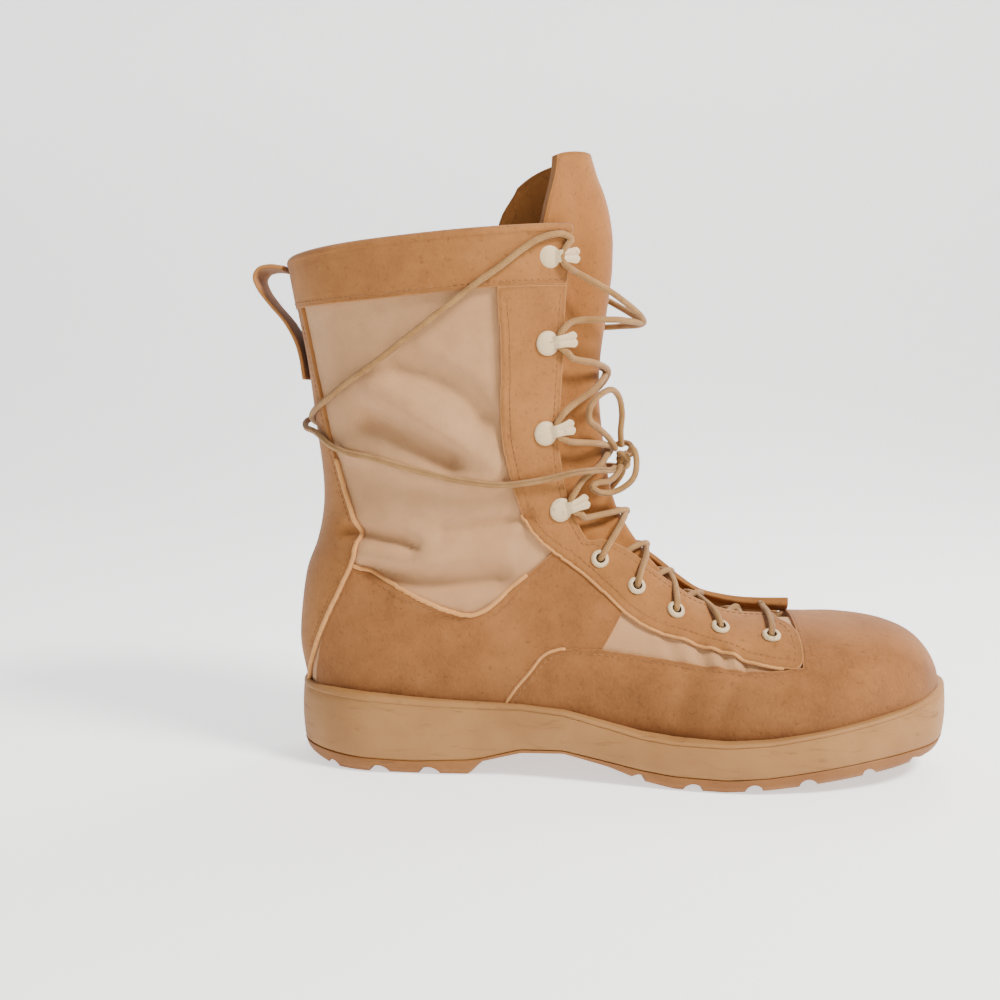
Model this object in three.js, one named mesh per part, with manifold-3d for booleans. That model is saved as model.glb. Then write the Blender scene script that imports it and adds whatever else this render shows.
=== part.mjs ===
// A right combat boot: suede over a nylon shell, on a cup midsole with a lugged outsole.
// Millimetres. X runs to the toe, Y to the inner side, Z up. The origin is on the floor
// under the middle of the heel's resting face.

import * as THREE from "three";
import { mergeVertices } from "three/addons/utils/BufferGeometryUtils.js";
import Module from "manifold-3d";

const wasm = await Module();
wasm.setup();

// Driving sizes
const soleLength = 314; // outsole, heel end to toe end
const heelReach = 36; // origin back to the outsole's heel end
const soleWidth = 110; // outsole across the ball
const cupHeight = 39; // floor to the cup's rim behind the heel
const ballWidth = 106; // upper across the ball
const heelWidth = 74; // upper across the heel
const shaftWidth = 96; // upper across the collar
const instepHeight = 112; // floor to the bend of the throat
const collarHeight = 254; // floor to the collar's front
const hide = 1.6; // suede laid over the shell
const wall = 2.2; // shell: nylon, padding and lining together
const insoleThickness = 4;
const insoleGap = 1; // insole to the shell around it
const tongueThickness = 4.5;
const throatDepth = 14; // reach of the throat's cut, in and out from the surface
const outsoleSkin = 0.3; // glue line between outsole and midsole
const fit = 0.3; // clearance where curved pieces meet
const lugDepth = 3.8; // tread grooves
const grooveReach = 24; // tread grooves, sole's edge towards its middle
const eyeletOuter = 8.7; // diameters
const eyeletHole = 4.4;
const eyeletHeight = 0.9; // flange over the suede
const hookDisc = 11.3; // diameter
const hookDiscThickness = 1.5;
const hookLength = 13; // prong past the disc's middle, towards the throat
const hookWidth = 8.6;
const hookThickness = 3;
const laceDiameter = 3;
const loopWidth = 22; // pull loop
const loopThickness = 2.6;

const colours = {
  suede: [0xb98a5a, 0.95],
  nylon: [0xcfae87, 0.9],
  midsole: [0xb08a5a, 0.7],
  gum: [0xa3733b, 0.6],
  insole: [0x8f7a5c, 0.95],
  paintedMetal: [0xddd2bb, 0.5],
  lace: [0xa8875c, 0.9],
};

// A table's rows become objects with the named columns.
function table(names, rows) {
  const columns = names.split(" ");
  return rows.map((row) => Object.fromEntries(columns.map((name, i) => [name, row[i]])));
}

// The sole, heel end to toe end. at: share of sole length. outer, inner: shares of half the
// sole width. rim, seam, tread, seat: heights as shares of the cup height.
const soleRows = table("at outer inner rim seam tread seat", [
  [0, 0, 0, 1, 0.23, 0.115, 0.59],
  [0.007, 0.218, 0.218, 1, 0.23, 0.1, 0.59],
  [0.027, 0.41, 0.41, 1, 0.22, 0.056, 0.59],
  [0.064, 0.582, 0.582, 1, 0.205, 0, 0.59],
  [0.115, 0.69, 0.69, 0.974, 0.18, 0, 0.59],
  [0.194, 0.718, 0.718, 0.933, 0.167, 0, 0.58],
  [0.277, 0.709, 0.7, 0.9, 0.195, 0, 0.564],
  [0.296, 0.709, 0.698, 0.897, 0.22, 0.16, 0.559],
  [0.354, 0.727, 0.705, 0.892, 0.346, 0.282, 0.538],
  [0.417, 0.773, 0.725, 0.846, 0.367, 0.308, 0.513],
  [0.481, 0.827, 0.764, 0.723, 0.277, 0.192, 0.474],
  [0.529, 0.878, 0.81, 0.631, 0.21, 0.062, 0.444],
  [0.576, 0.927, 0.86, 0.59, 0.17, 0, 0.42],
  [0.65, 0.982, 0.945, 0.587, 0.162, 0, 0.39],
  [0.713, 0.985, 0.99, 0.631, 0.205, 0.041, 0.387],
  [0.793, 0.924, 1.015, 0.738, 0.295, 0.118, 0.44],
  [0.863, 0.8, 0.964, 0.841, 0.367, 0.185, 0.51],
  [0.917, 0.636, 0.845, 0.923, 0.405, 0.226, 0.565],
  [0.962, 0.418, 0.655, 1.02, 0.42, 0.277, 0.6],
  [0.989, 0.145, 0.418, 1.06, 0.43, 0.318, 0.61],
  [1, -0.127, 0.127, 1.07, 0.436, 0.338, 0.61],
]);

// The sides of the cup and the outsole. rise: share of the side's height. out: share of the
// cup height that the side stands out past the plan outline.
const cupSide = table("rise out", [
  [0, -0.018],
  [0.4, 0.005],
  [0.9, -0.006],
  [1, -0.036],
]);
const outsoleSide = table("rise out", [
  [0, -0.085],
  [0.5, -0.03],
  [1, -0.012],
]);

// Tread grooves: at: share of sole length. gap: share of it along the groove's mouth.
// slant: degrees that the groove turns forward on its way in.
const grooveRows = table("at gap slant", [
  [0.064, 0.022, 8],
  [0.139, 0.032, 8],
  [0.215, 0.032, 8],
  [0.529, 0.02, -10],
  [0.606, 0.027, -6],
  [0.69, 0.025, 0],
  [0.765, 0.025, 8],
  [0.852, 0.017, 18],
  [0.919, 0.013, 30],
]);

// Stations of the upper. Each is a slanting section, from a low or back point to a high or
// front point. low, high: places of the two points along the sole. top, back: their heights.
// half: half width. swing: shift of the section to the inner side, lean: more shift at the
// top. widest: share of the section's rise at its widest. feather: share of the half width
// left at the sole, none where the section closes behind the heel. crown, base: how square
// the section is above and below its widest place.
// Toe stations: top is a share of the instep height, half, swing and lean of half the ball
// width, and low points lie on the sole's seat.
const toeStations = table("low high top half swing lean widest feather crown base", [
  [0.981, 0.9875, 0.384, 0, 0.135, 0, 0.42, 0.93, 2.3, 2],
  [0.976, 0.982, 0.433, 0.28, 0.13, 0.004, 0.42, 0.93, 2.3, 2],
  [0.962, 0.967, 0.509, 0.44, 0.12, 0.01, 0.4, 0.93, 2.3, 2],
  [0.94, 0.9427, 0.576, 0.6, 0.11, 0.02, 0.38, 0.92, 2.3, 2],
  [0.9045, 0.903, 0.62, 0.735, 0.094, 0.028, 0.36, 0.92, 2.3, 2],
  [0.847, 0.844, 0.6375, 0.86, 0.07, 0.047, 0.34, 0.92, 2.25, 2],
  [0.761, 0.761, 0.646, 0.96, 0.038, 0.066, 0.32, 0.92, 2.1, 2],
  [0.662, 0.675, 0.67, 0.94, 0.01, 0.075, 0.32, 0.92, 2, 2],
]);
// Waist stations: the same, with half as a share of half the heel width.
const waistStations = table("low high top half swing lean widest feather crown base", [
  [0.545, 0.618, 0.732, 1.13, -0.02, 0.075, 0.33, 0.92, 2, 2],
  [0.417, 0.583, 0.808, 1.02, -0.038, 0.057, 0.36, 0.9, 2, 2],
  [0.29, 0.557, 0.879, 0.98, -0.028, 0.038, 0.38, 0.87, 2, 2],
  [0.178, 0.5365, 0.946, 0.97, -0.01, 0.028, 0.38, 0.83, 2, 2.2],
  [0.089, 0.521, 1, 0.97, 0, 0.02, 0.39, 0.75, 2, 2.4],
]);
// Heel stations: top is a share of the rise from instep to collar, back of that from the
// heel's seat to the collar, half of half the heel width.
const heelStations = table("low high back top half lean widest feather crown base", [
  [0.035, 0.51, 0, 0.032, 0.97, 0.02, 0.4, 0.55, 2, 2.5],
  [0.0175, 0.502, 0.009, 0.056, 0.97, 0.02, 0.41, 0, 2, 2.6],
  [0.0108, 0.494, 0.07, 0.088, 0.98, 0.015, 0.42, 0, 2, 2.6],
  [-0.001, 0.486, 0.16, 0.13, 1, 0.01, 0.44, 0, 2, 2.5],
  [0.0096, 0.476, 0.29, 0.204, 1.027, 0.008, 0.46, 0, 2.1, 2.4],
  [0.0287, 0.468, 0.364, 0.282, 1.054, 0.004, 0.47, 0, 2.2, 2.3],
]);
// Shaft stations: the same, with half as a share of half the shaft width.
const shaftStations = table("low high back top half lean widest feather crown base", [
  [0.037, 0.462, 0.433, 0.373, 0.844, 0, 0.48, 0, 2.2, 2.2],
  [0.0366, 0.4586, 0.515, 0.479, 0.875, 0, 0.48, 0, 2.2, 2.2],
  [0.029, 0.4586, 0.615, 0.599, 0.906, 0, 0.48, 0, 2.2, 2.2],
  [0.0175, 0.462, 0.719, 0.725, 0.9375, 0, 0.48, 0, 2.2, 2.2],
  [0.005, 0.468, 0.827, 0.859, 0.969, 0, 0.48, 0, 2.2, 2.2],
  [-0.0105, 0.476, 0.942, 1, 1, 0, 0.48, 0, 2.2, 2.2],
  [-0.019, 0.481, 1.035, 1.155, 1.01, 0, 0.48, 0, 2.2, 2.2],
  [-0.0255, 0.4745, 1.13, 1.31, 1.02, 0, 0.48, 0, 2.2, 2.2],
]);
const collarStation = 24; // the collar's edge, counted over all the stations from the toe
const closedStation = 14; // the first station that closes behind the heel

const along = (share) => share * soleLength - heelReach;
const mix = (a, b, t) => a + (b - a) * t;

// A column of the sole's table at a share of the sole's length.
function soleLevel(column, share) {
  const next = Math.max(1, soleRows.findIndex((row) => row.at >= share));
  const b = soleRows[share >= 1 ? soleRows.length - 1 : next];
  const a = soleRows[share >= 1 ? soleRows.length - 2 : next - 1];
  const t = THREE.MathUtils.clamp((share - a.at) / (b.at - a.at), 0, 1);
  return mix(a[column], b[column], t) * cupHeight;
}

function footStation(row, width) {
  const shift = ballWidth / 2;
  return {
    ...row,
    backX: along(row.low),
    backZ: soleLevel("seat", row.low),
    topX: along(row.high),
    topZ: row.top * instepHeight,
    half: (row.half * width) / 2,
    swing: row.swing * shift,
    lean: row.lean * shift,
  };
}

function legStation(row, width) {
  const heelSeat = soleLevel("seat", 0);
  return {
    ...row,
    backX: along(row.low),
    backZ: mix(heelSeat, collarHeight, row.back),
    topX: along(row.high),
    topZ: mix(instepHeight, collarHeight, row.top),
    half: (row.half * width) / 2,
    swing: 0,
    lean: (row.lean * ballWidth) / 2,
  };
}

const stationRows = [
  ...toeStations.map((row) => footStation(row, ballWidth)),
  ...waistStations.map((row) => footStation(row, heelWidth)),
  ...heelStations.map((row) => legStation(row, heelWidth)),
  ...shaftStations.map((row) => legStation(row, shaftWidth)),
];

// Smooth value between four neighbours, b at 0 and c at 1.
function between(a, b, c, d, t) {
  const bend = 2 * a - 5 * b + 4 * c - d;
  const twist = 3 * b - a - 3 * c + d;
  return 0.5 * (2 * b + (c - a) * t + bend * t * t + twist * t * t * t);
}

const stationNames = "backX backZ topX topZ half swing lean widest feather crown base".split(" ");

function station(v) {
  const last = stationRows.length - 1;
  const i = THREE.MathUtils.clamp(Math.floor(v), 0, last - 1);
  const rows = [stationRows[Math.max(i - 1, 0)], stationRows[i], stationRows[i + 1]];
  rows.push(stationRows[Math.min(i + 2, last)]);
  const value = (name) => between(...rows.map((row) => row[name]), v - i);
  return Object.fromEntries(stationNames.map((name) => [name, value(name)]));
}

// A point of the upper's outside. v counts stations from the toe. u is -1 at the sole's
// edge on the outer side, 0 on the ridge over the instep and 1 on the inner side. The
// section is a rounded arch above its widest place and a part of one below it.
function surface(v, u) {
  const s = station(v);
  const feather = THREE.MathUtils.clamp(s.feather, 0, 0.98);
  const half = Math.max(s.half, 0);
  const end = Math.PI - Math.asin(feather ** (s.base / 2));
  const rise = Math.cos(Math.abs(u) * end);
  const side = Math.max(Math.sin(Math.abs(u) * end), 0);
  const power = 2 / (rise > 0 ? s.crown : s.base);
  const depth = s.widest / Math.abs(Math.cos(end)) ** power;
  const reach = Math.abs(rise) ** power;
  const t = rise > 0 ? mix(s.widest, 1, reach) : s.widest - depth * reach;
  const leaned = s.lean * THREE.MathUtils.clamp((t - s.widest) / (1 - s.widest), 0, 1);
  const y = s.swing + leaned + Math.sign(u) * half * side ** power;
  return new THREE.Vector3(mix(s.backX, s.topX, t), y, mix(s.backZ, s.topZ, t));
}

const probe = 0.001; // step in stations and turns for the direction that the surface faces
const tipStation = 0.05; // the first station with a width

function facing(place, u) {
  const v = Math.max(place, tipStation);
  const ahead = surface(v + probe, u).sub(surface(v - probe, u));
  const across = surface(v, Math.min(u + probe, 1)).sub(surface(v, Math.max(u - probe, -1)));
  const normal = across.cross(ahead);
  const edge = Math.abs(u) === 1;
  if (place === 0 || (edge && v >= closedStation)) {
    normal.y = 0;
  }
  if (edge && v <= closedStation) {
    normal.z = 0;
  }
  return normal.normalize();
}

// The surface moved out by a distance, or in where it is negative. Along the sole's edge it
// moves level.
const skin = (v, u, out) => surface(v, u).addScaledVector(facing(v, u), out);

// Mesh helpers

// Closed loops of equal count, joined one to the next, with both ends closed by strips
// between each loop's two halves. Points that coincide are merged.
function loft(loops) {
  const count = loops[0].length;
  const corners = [];
  const add = (...points) => corners.push(...points);
  const quad = (a, b, c, d) => add(a, b, c, a, c, d);
  for (let i = 0; i + 1 < loops.length; i++) {
    for (let j = 0; j < count; j++) {
      const k = (j + 1) % count;
      quad(loops[i][j], loops[i][k], loops[i + 1][k], loops[i + 1][j]);
    }
  }
  const close = (loop, flip) => {
    for (let j = 0, k = count - 1; k - j > 1; j++, k--) {
      const ring = k - j === 2 ? [loop[j], loop[j + 1], loop[k]] : [loop[j], loop[j + 1], loop[k - 1], loop[k]];
      const [a, b, c, d] = flip ? ring.reverse() : ring;
      add(a, b, c);
      if (d) add(a, c, d);
    }
  };
  close(loops[0], true);
  close(loops.at(-1), false);
  return new THREE.BufferGeometry().setFromPoints(corners);
}

function signedVolume(points, faces) {
  const corner = (i) => new THREE.Vector3().fromArray(points, 3 * i);
  let total = 0;
  for (let i = 0; i < faces.length; i += 3) {
    total += corner(faces[i]).dot(corner(faces[i + 1]).cross(corner(faces[i + 2])));
  }
  return total / 6;
}

function solid(geometry) {
  const bare = geometry.index ? geometry.toNonIndexed() : geometry.clone();
  bare.deleteAttribute("normal");
  bare.deleteAttribute("uv");
  const merged = mergeVertices(bare, 1e-3);
  const points = merged.attributes.position.array;
  const faces = [];
  for (let i = 0; i < merged.index.count; i += 3) {
    const [a, b, c] = merged.index.array.slice(i, i + 3);
    if (a !== b && b !== c && c !== a) {
      faces.push(a, b, c);
    }
  }
  if (signedVolume(points, faces) < 0) {
    faces.reverse();
  }
  const mesh = new wasm.Mesh({
    numProp: 3,
    vertProperties: Float32Array.from(points),
    triVerts: Uint32Array.from(faces),
  });
  return new wasm.Manifold(mesh);
}

function toGeometry(manifold) {
  const mesh = manifold.getMesh();
  const geometry = new THREE.BufferGeometry();
  geometry.setAttribute("position", new THREE.BufferAttribute(mesh.vertProperties, 3));
  geometry.setIndex(new THREE.BufferAttribute(mesh.triVerts, 1));
  const flat = geometry.toNonIndexed();
  flat.computeVertexNormals();
  return flat;
}

const boot = new THREE.Group();

function addPiece(name, manifold, finish) {
  const [color, roughness] = colours[finish];
  const metalness = finish === "paintedMetal" ? 0.3 : 0;
  const material = new THREE.MeshStandardMaterial({ color, roughness, metalness });
  const mesh = new THREE.Mesh(toGeometry(manifold), material);
  mesh.name = name;
  boot.add(mesh);
}

// Sole

// The sole's plan, a closed smooth line through the table's rows: out along the outer side
// and back along the inner side.
const lastRow = soleRows.length - 1;
const plan = [
  ...soleRows.map((row) => [along(row.at), (-row.outer * soleWidth) / 2]),
  ...soleRows.slice(1, -1).reverse().map((row) => [along(row.at), (row.inner * soleWidth) / 2]),
];

function planPoint(t) {
  const i = Math.floor(t);
  const near = [-1, 0, 1, 2].map((step) => plan.at((i + step + plan.length) % plan.length));
  return [0, 1].map((axis) => between(...near.map((point) => point[axis]), t - i));
}

// A point beside the plan line, moved out square to it.
function planEdge(t, out) {
  const [x, y] = planPoint(t);
  const before = planPoint(t - 0.01);
  const after = planPoint(t + 0.01);
  const tangent = new THREE.Vector2(after[0] - before[0], after[1] - before[1]).normalize();
  return [x + tangent.y * out, y - tangent.x * out];
}

// A body with the sole's plan between two levels, with a side profile.
function soleBody(lowLevel, highLevel, profile, perRow = 2) {
  const loops = [];
  for (let step = 0; step <= lastRow * perRow; step++) {
    const s = step / perRow;
    const i = Math.min(Math.floor(s), lastRow - 1);
    const share = mix(soleRows[i].at, soleRows[i + 1].at, s - i);
    const low = lowLevel(share);
    const high = highLevel(share);
    const side = (t) =>
      profile.map((row) => {
        const [x, y] = planEdge(t, row.out * cupHeight);
        return new THREE.Vector3(x, y, mix(low, high, row.rise));
      });
    loops.push([...side(s), ...side(2 * lastRow - s).reverse()]);
  }
  return solid(loft(loops));
}

const levelOf = (column) => (share) => soleLevel(column, share);
const cupBody = soleBody(levelOf("seam"), levelOf("rim"), cupSide);
const treadBody = soleBody(levelOf("tread"), (share) => soleLevel("seam", share) - outsoleSkin, outsoleSide);

// A block cut into the tread from one side, following the tread's rise.
function groove(row, side) {
  const column = side < 0 ? "outer" : "inner";
  const x = along(row.at);
  const edge = (side * soleLevel(column, row.at) * soleWidth) / (2 * cupHeight);
  const depth = 3 * lugDepth;
  const box = new THREE.BoxGeometry(row.gap * soleLength, 2 * grooveReach, depth);
  box.rotateZ(THREE.MathUtils.degToRad(-side * row.slant));
  const level = soleLevel("tread", row.at) + lugDepth - depth / 2;
  box.translate(x, edge, level);
  return solid(box);
}

const grooves = grooveRows.flatMap((row) => [groove(row, -1), groove(row, 1)]);
addPiece("outsole", grooves.reduce((body, cut) => body.subtract(cut), treadBody), "gum");

// Upper forms

const extraStations = [0.5, 7.5, 13.5];
const turnCount = 18;
const turns = Array.from({ length: turnCount + 1 }, (_, i) => (2 * i) / turnCount - 1);

// A filled form of the upper at a distance from its outside, with its open bottom
// lowered by a drop and its top at a station.
function form(out, drop, topStation) {
  const whole = Array.from({ length: collarStation + 1 }, (_, i) => i);
  const levels = [...new Set([...whole, ...extraStations, topStation])].sort((a, b) => a - b);
  const loops = levels.map((v) => {
    const loop = turns.map((u) => skin(v, u, out));
    const [first, last] = [loop[0].clone(), loop.at(-1).clone()];
    if (v < closedStation) {
      first.z -= drop;
      last.z -= drop;
    }
    return [first, ...loop, last];
  });
  return solid(loft(loops));
}

const overTop = collarStation + 1;
const hideForm = form(0, 0, collarStation);
const cupCutter = form(fit, fit, overTop);
const shellForm = form(-hide - fit, 0, collarStation);
const hideCutter = form(-hide, cupHeight, overTop);
const shellCutter = form(-hide - fit - wall, cupHeight, overTop);
const footCutter = form(-hide - fit - wall - insoleGap, cupHeight, overTop);

addPiece("midsole", cupBody.subtract(cupCutter), "midsole");

// A slab over the foot's stations between two heights above the seat, wide enough for a cut.
function seatSlab(low, high) {
  const loops = [];
  for (let v = 0; v <= closedStation; v++) {
    const s = station(v);
    const corner = (side, rise) => new THREE.Vector3(s.backX, (side * soleWidth) / 2, s.backZ + rise);
    loops.push([corner(-1, low), corner(-1, high), corner(1, high), corner(1, low)]);
  }
  return solid(loft(loops));
}

addPiece("insole", footCutter.intersect(seatSlab(fit, fit + insoleThickness)), "insole");

// Throat: the edge on the outer side, from the vamp up to the collar. The inner side
// mirrors it.
const throatRows = table("v u", [
  [5.93, 0.05],
  [6.3, 0.09],
  [8, 0.15],
  [10, 0.175],
  [12, 0.19],
  [14, 0.195],
  [15.6, 0.206],
  [17.3, 0.233],
  [18.8, 0.242],
  [20, 0.227],
  [21.4, 0.215],
  [25, 0.215],
]);

function rowValue(rows, column, v) {
  const i = THREE.MathUtils.clamp(rows.findIndex((row) => row.v > v) - 1, 0, rows.length - 2);
  const t = THREE.MathUtils.clamp((v - rows[i].v) / (rows[i + 1].v - rows[i].v), 0, 1);
  return mix(rows[i][column], rows[i + 1][column], t);
}

// A solid over part of the surface, between two distances from it.
function patch(levels, lowTurn, highTurn, inward, outward, steps) {
  const loops = levels.map((v) => {
    const u = Array.from({ length: steps + 1 }, (_, i) => mix(lowTurn(v), highTurn(v), i / steps));
    const under = u.map((turn) => skin(v, turn, inward));
    const over = u.map((turn) => skin(v, turn, outward)).reverse();
    return [...under, ...over];
  });
  return solid(loft(loops));
}

const throatLevels = [...throatRows.map((row) => row.v), 7, 9, 11, 13, 16.4, 22.5].sort((a, b) => a - b);
const throatTurn = (v) => rowValue(throatRows, "u", v);
const throatCut = patch(throatLevels, (v) => -throatTurn(v), throatTurn, -throatDepth, throatDepth, 6);

addPiece("upper", shellForm.subtract(shellCutter).subtract(throatCut), "nylon");

// Suede over the shell, in panels whose borders are drawn from the side

const hideLayer = hideForm.subtract(hideCutter).subtract(throatCut);
const farAway = soleLength + collarHeight;

// A border is a list of surface places, given as a station and a turn on the outer side.
const drawn = (places) => places.map(([v, u]) => surface(v, -u)).map((p) => [p.x, p.z]);

// The outline moved in by a distance, so that neighbours keep their gap.
function inset(points, distance) {
  const shape = new THREE.Shape(points.map(([x, y]) => new THREE.Vector2(x, y)));
  const sign = THREE.ShapeUtils.isClockWise(shape.getPoints()) ? -1 : 1;
  return points.map(([x, y], i) => {
    const before = points.at(i - 1);
    const after = points[(i + 1) % points.length];
    const a = new THREE.Vector2(x - before[0], y - before[1]).normalize();
    const b = new THREE.Vector2(after[0] - x, after[1] - y).normalize();
    const normal = new THREE.Vector2(-a.y - b.y, a.x + b.x).normalize();
    const reach = distance / Math.max(normal.dot(new THREE.Vector2(-a.y, a.x)), 0.4);
    return [x + sign * normal.x * reach, y + sign * normal.y * reach];
  });
}

// The part of the suede layer seen inside an outline, on both sides or on one side of a
// dividing plane.
function panel(points, side, divide = 0) {
  const shape = new THREE.Shape(inset(points, fit / 2).map(([x, z]) => new THREE.Vector2(x, z)));
  const depth = soleWidth;
  const prism = new THREE.ExtrudeGeometry(shape, { depth: side ? depth : 2 * depth, bevelEnabled: false });
  prism.rotateX(Math.PI / 2);
  prism.translate(0, side < 0 ? divide : divide + depth, 0);
  return hideLayer.intersect(solid(prism));
}

const bandLow = [
  [23.2, 1],
  [23.15, 0.87],
  [22.98, 0.58],
  [22.88, 0.385],
  [22.77, 0.215],
  [22.75, 0],
];
const facingBack = [
  [22.88, 0.385],
  [22.17, 0.38],
  [20.8, 0.38],
  [19.36, 0.388],
  [18.2, 0.371],
  [17.56, 0.356],
  [16.54, 0.332],
  [15.8, 0.305],
  [14.68, 0.272],
  [12.56, 0.338],
  [11.26, 0.385],
  [10.31, 0.421],
  [9.61, 0.447],
];
const facingFoot = [
  [9.61, 0.447],
  [8.83, 0.469],
  [8.24, 0.463],
  [7.74, 0.453],
  [7.07, 0.475],
  [6.76, 0.51],
];
const facingFront = [
  [6.4, 0.515],
  [5.98, 0.49],
  [5.95, 0.35],
  [6.02, 0.147],
];
const quarterTop = [
  [17.03, 0.7],
  [16.36, 0.6],
  [15.63, 0.517],
  [14.85, 0.469],
  [14.25, 0.447],
  [13.69, 0.447],
  [13.25, 0.46],
  [13.51, 0.4],
  [14.08, 0.317],
  [14.55, 0.277],
];
const insertBack = [
  [9.61, 0.447],
  [9.47, 0.529],
  [9.29, 0.621],
];
const vampTop = [
  [6.83, 0.535],
  [7.21, 0.544],
  [7.64, 0.564],
  [8.09, 0.588],
  [8.59, 0.6],
  [9.04, 0.615],
  [9.29, 0.621],
];
const vampBack = [
  [9.5, 0.63],
  [9.92, 0.648],
  [10.21, 0.666],
  [10.35, 0.696],
  [10.21, 0.779],
  [10.14, 0.806],
  [10.03, 0.884],
];
const stayFront = [
  [22, 0.86],
  [21.3, 0.825],
  [20.4, 0.827],
  [19.7, 0.806],
  [18.72, 0.746],
  [17.81, 0.702],
  [17.03, 0.7],
  [16.6, 0.723],
  [16.36, 0.755],
  [15.73, 0.803],
  [15.3, 0.83],
  [14.9, 0.87],
];

const bandLine = drawn(bandLow);
const collarBand = panel(
  [[-farAway, bandLine[0][1]], ...bandLine, [farAway, bandLine.at(-1)[1]], [farAway, farAway], [-farAway, farAway]],
  0,
);
addPiece("collar_band", collarBand, "suede");

const stayLine = drawn(stayFront);
const backstay = panel(
  [
    [-farAway, bandLine[0][1]],
    ...bandLine.slice(0, 2),
    ...stayLine,
    [stayLine.at(-1)[0], 0],
    [-farAway, 0],
  ],
  0,
);
addPiece("backstay", backstay, "suede");

const vampBackLine = drawn([...vampTop, ...vampBack]);
const frontLine = drawn(facingFront);
const vamp = panel(
  [
    ...vampBackLine,
    [vampBackLine.at(-1)[0], 0],
    [farAway, 0],
    [farAway, farAway],
    [frontLine.at(-1)[0], farAway],
    ...[...frontLine].reverse(),
  ],
  0,
);
addPiece("vamp", vamp, "suede");

const lowStay = stayLine.slice(stayFront.findIndex(([v]) => v === quarterTop[0][0]));
const quarterLine = [
  ...drawn(quarterTop),
  ...drawn(facingBack.slice(8)).slice(0, -1),
  ...drawn(insertBack),
  ...drawn(vampBack),
  [vampBackLine.at(-1)[0], 0],
  [lowStay.at(-1)[0], 0],
  ...[...lowStay].reverse().slice(0, -1),
];
const facingLine = [
  ...drawn(facingBack),
  ...drawn(facingFoot).slice(1),
  ...frontLine,
  [frontLine.at(-1)[0], bandLine.at(-1)[1]],
  ...[...bandLine].reverse().slice(0, 2),
];
for (const [side, name] of [[-1, "outer"], [1, "inner"]]) {
  addPiece(`quarter_${name}`, panel(quarterLine, side), "suede");
  addPiece(`facing_${name}`, panel(facingLine, side, surface(throatRows[0].v, 0).y), "suede");
}

// Tongue: a strip of the same surface, tucked under the facings and bulging in the throat.
// outer, inner: turns that it reaches to each side. bulge: distance out at its middle.
// outerTuck, innerTuck: distances out at its edges. Distances are shares of its thickness.
const tongueRows = table("v outer inner bulge outerTuck innerTuck", [
  [6.3, 0.2, 0.2, -1.22, -1.22, -1.22],
  [7, 0.24, 0.24, -0.89, -1.16, -1.16],
  [9, 0.28, 0.28, -0.56, -1.16, -1.16],
  [12, 0.3, 0.3, -0.33, -1.16, -1.16],
  [15, 0.31, 0.31, 0.11, -1.16, -1.16],
  [18, 0.32, 0.33, 0.44, -1.16, -1.16],
  [21, 0.31, 0.34, 0.76, -1.2, -1.24],
  [23.4, 0.29, 0.38, 1.22, -1.44, -2],
  [24.2, 0.27, 0.4, 0.44, -1.78, -2.67],
  [24.9, 0.25, 0.4, -0.89, -2.22, -3.11],
  [25.65, 0.2, 0.33, -2, -2.89, -3.56],
]);

function tongueOut(v, u) {
  const open = 0.8 * throatTurn(Math.min(v, collarStation));
  const tuck = rowValue(tongueRows, u < 0 ? "outerTuck" : "innerTuck", v);
  const swell = Math.cos((Math.PI / 2) * Math.min(Math.abs(u) / open, 1)) ** 2;
  return tongueThickness * mix(tuck, rowValue(tongueRows, "bulge", v), swell);
}

const tongueSteps = 10;
const tongueLevels = [6.3, 7, 8, 9, 10, 11, 12, 13.5, 15, 16.5, 18, 20, 22, 23.4, 24.2, 24.9, 25.65];
const tongueLoops = tongueLevels.map((v) => {
  const low = -rowValue(tongueRows, "outer", v);
  const high = rowValue(tongueRows, "inner", v);
  const u = Array.from({ length: tongueSteps + 1 }, (_, i) => mix(low, high, i / tongueSteps));
  const over = u.map((turn) => skin(v, turn, tongueOut(v, turn)));
  const under = u.map((turn) => skin(v, turn, tongueOut(v, turn) - tongueThickness)).reverse();
  return [...over, ...under];
});
addPiece("tongue", solid(loft(tongueLoops)), "suede");

// Pull loop: a strip sewn up the back seam, turned out and over to the collar. x: share of
// the sole length, z: share of the collar height, for the middle of the strip.
const loopRows = table("x z", [
  [0.0135, 0.73],
  [0.0075, 0.775],
  [0, 0.803],
  [-0.016, 0.838],
  [-0.042, 0.876],
  [-0.058, 0.904],
  [-0.063, 0.924],
  [-0.056, 0.938],
  [-0.04, 0.943],
  [-0.018, 0.94],
]);

function stripAlong(points, width, thickness) {
  const curve = new THREE.CatmullRomCurve3(points, false, "centripetal");
  const count = Math.round(1.5 * points.length);
  const loops = curve.getPoints(count).map((p, i) => {
    const tangent = curve.getTangent(i / count);
    const normal = new THREE.Vector3(-tangent.z, 0, tangent.x).multiplyScalar(thickness / 2);
    const corner = (side, sign) => p.clone().addScaledVector(normal, sign).setY((side * width) / 2);
    return [corner(-1, 1), corner(1, 1), corner(1, -1), corner(-1, -1)];
  });
  return solid(loft(loops));
}

const loopPoints = loopRows.map((row) => new THREE.Vector3(along(row.x), 0, row.z * collarHeight));
addPiece("pull_loop", stripAlong(loopPoints, loopWidth, loopThickness), "suede");

// Hooks and eyelets, each placed on the suede with its own frame: out of the surface, and
// across it towards the throat

function frameAt(v, u, out) {
  const place = skin(v, u, out);
  const normal = facing(v, u);
  const ahead = surface(v, u - Math.sign(u) * 0.02).sub(surface(v, u));
  ahead.addScaledVector(normal, -ahead.dot(normal)).normalize();
  const up = normal.clone().cross(ahead);
  return new THREE.Matrix4().makeBasis(ahead, up, normal).setPosition(place);
}

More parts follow.
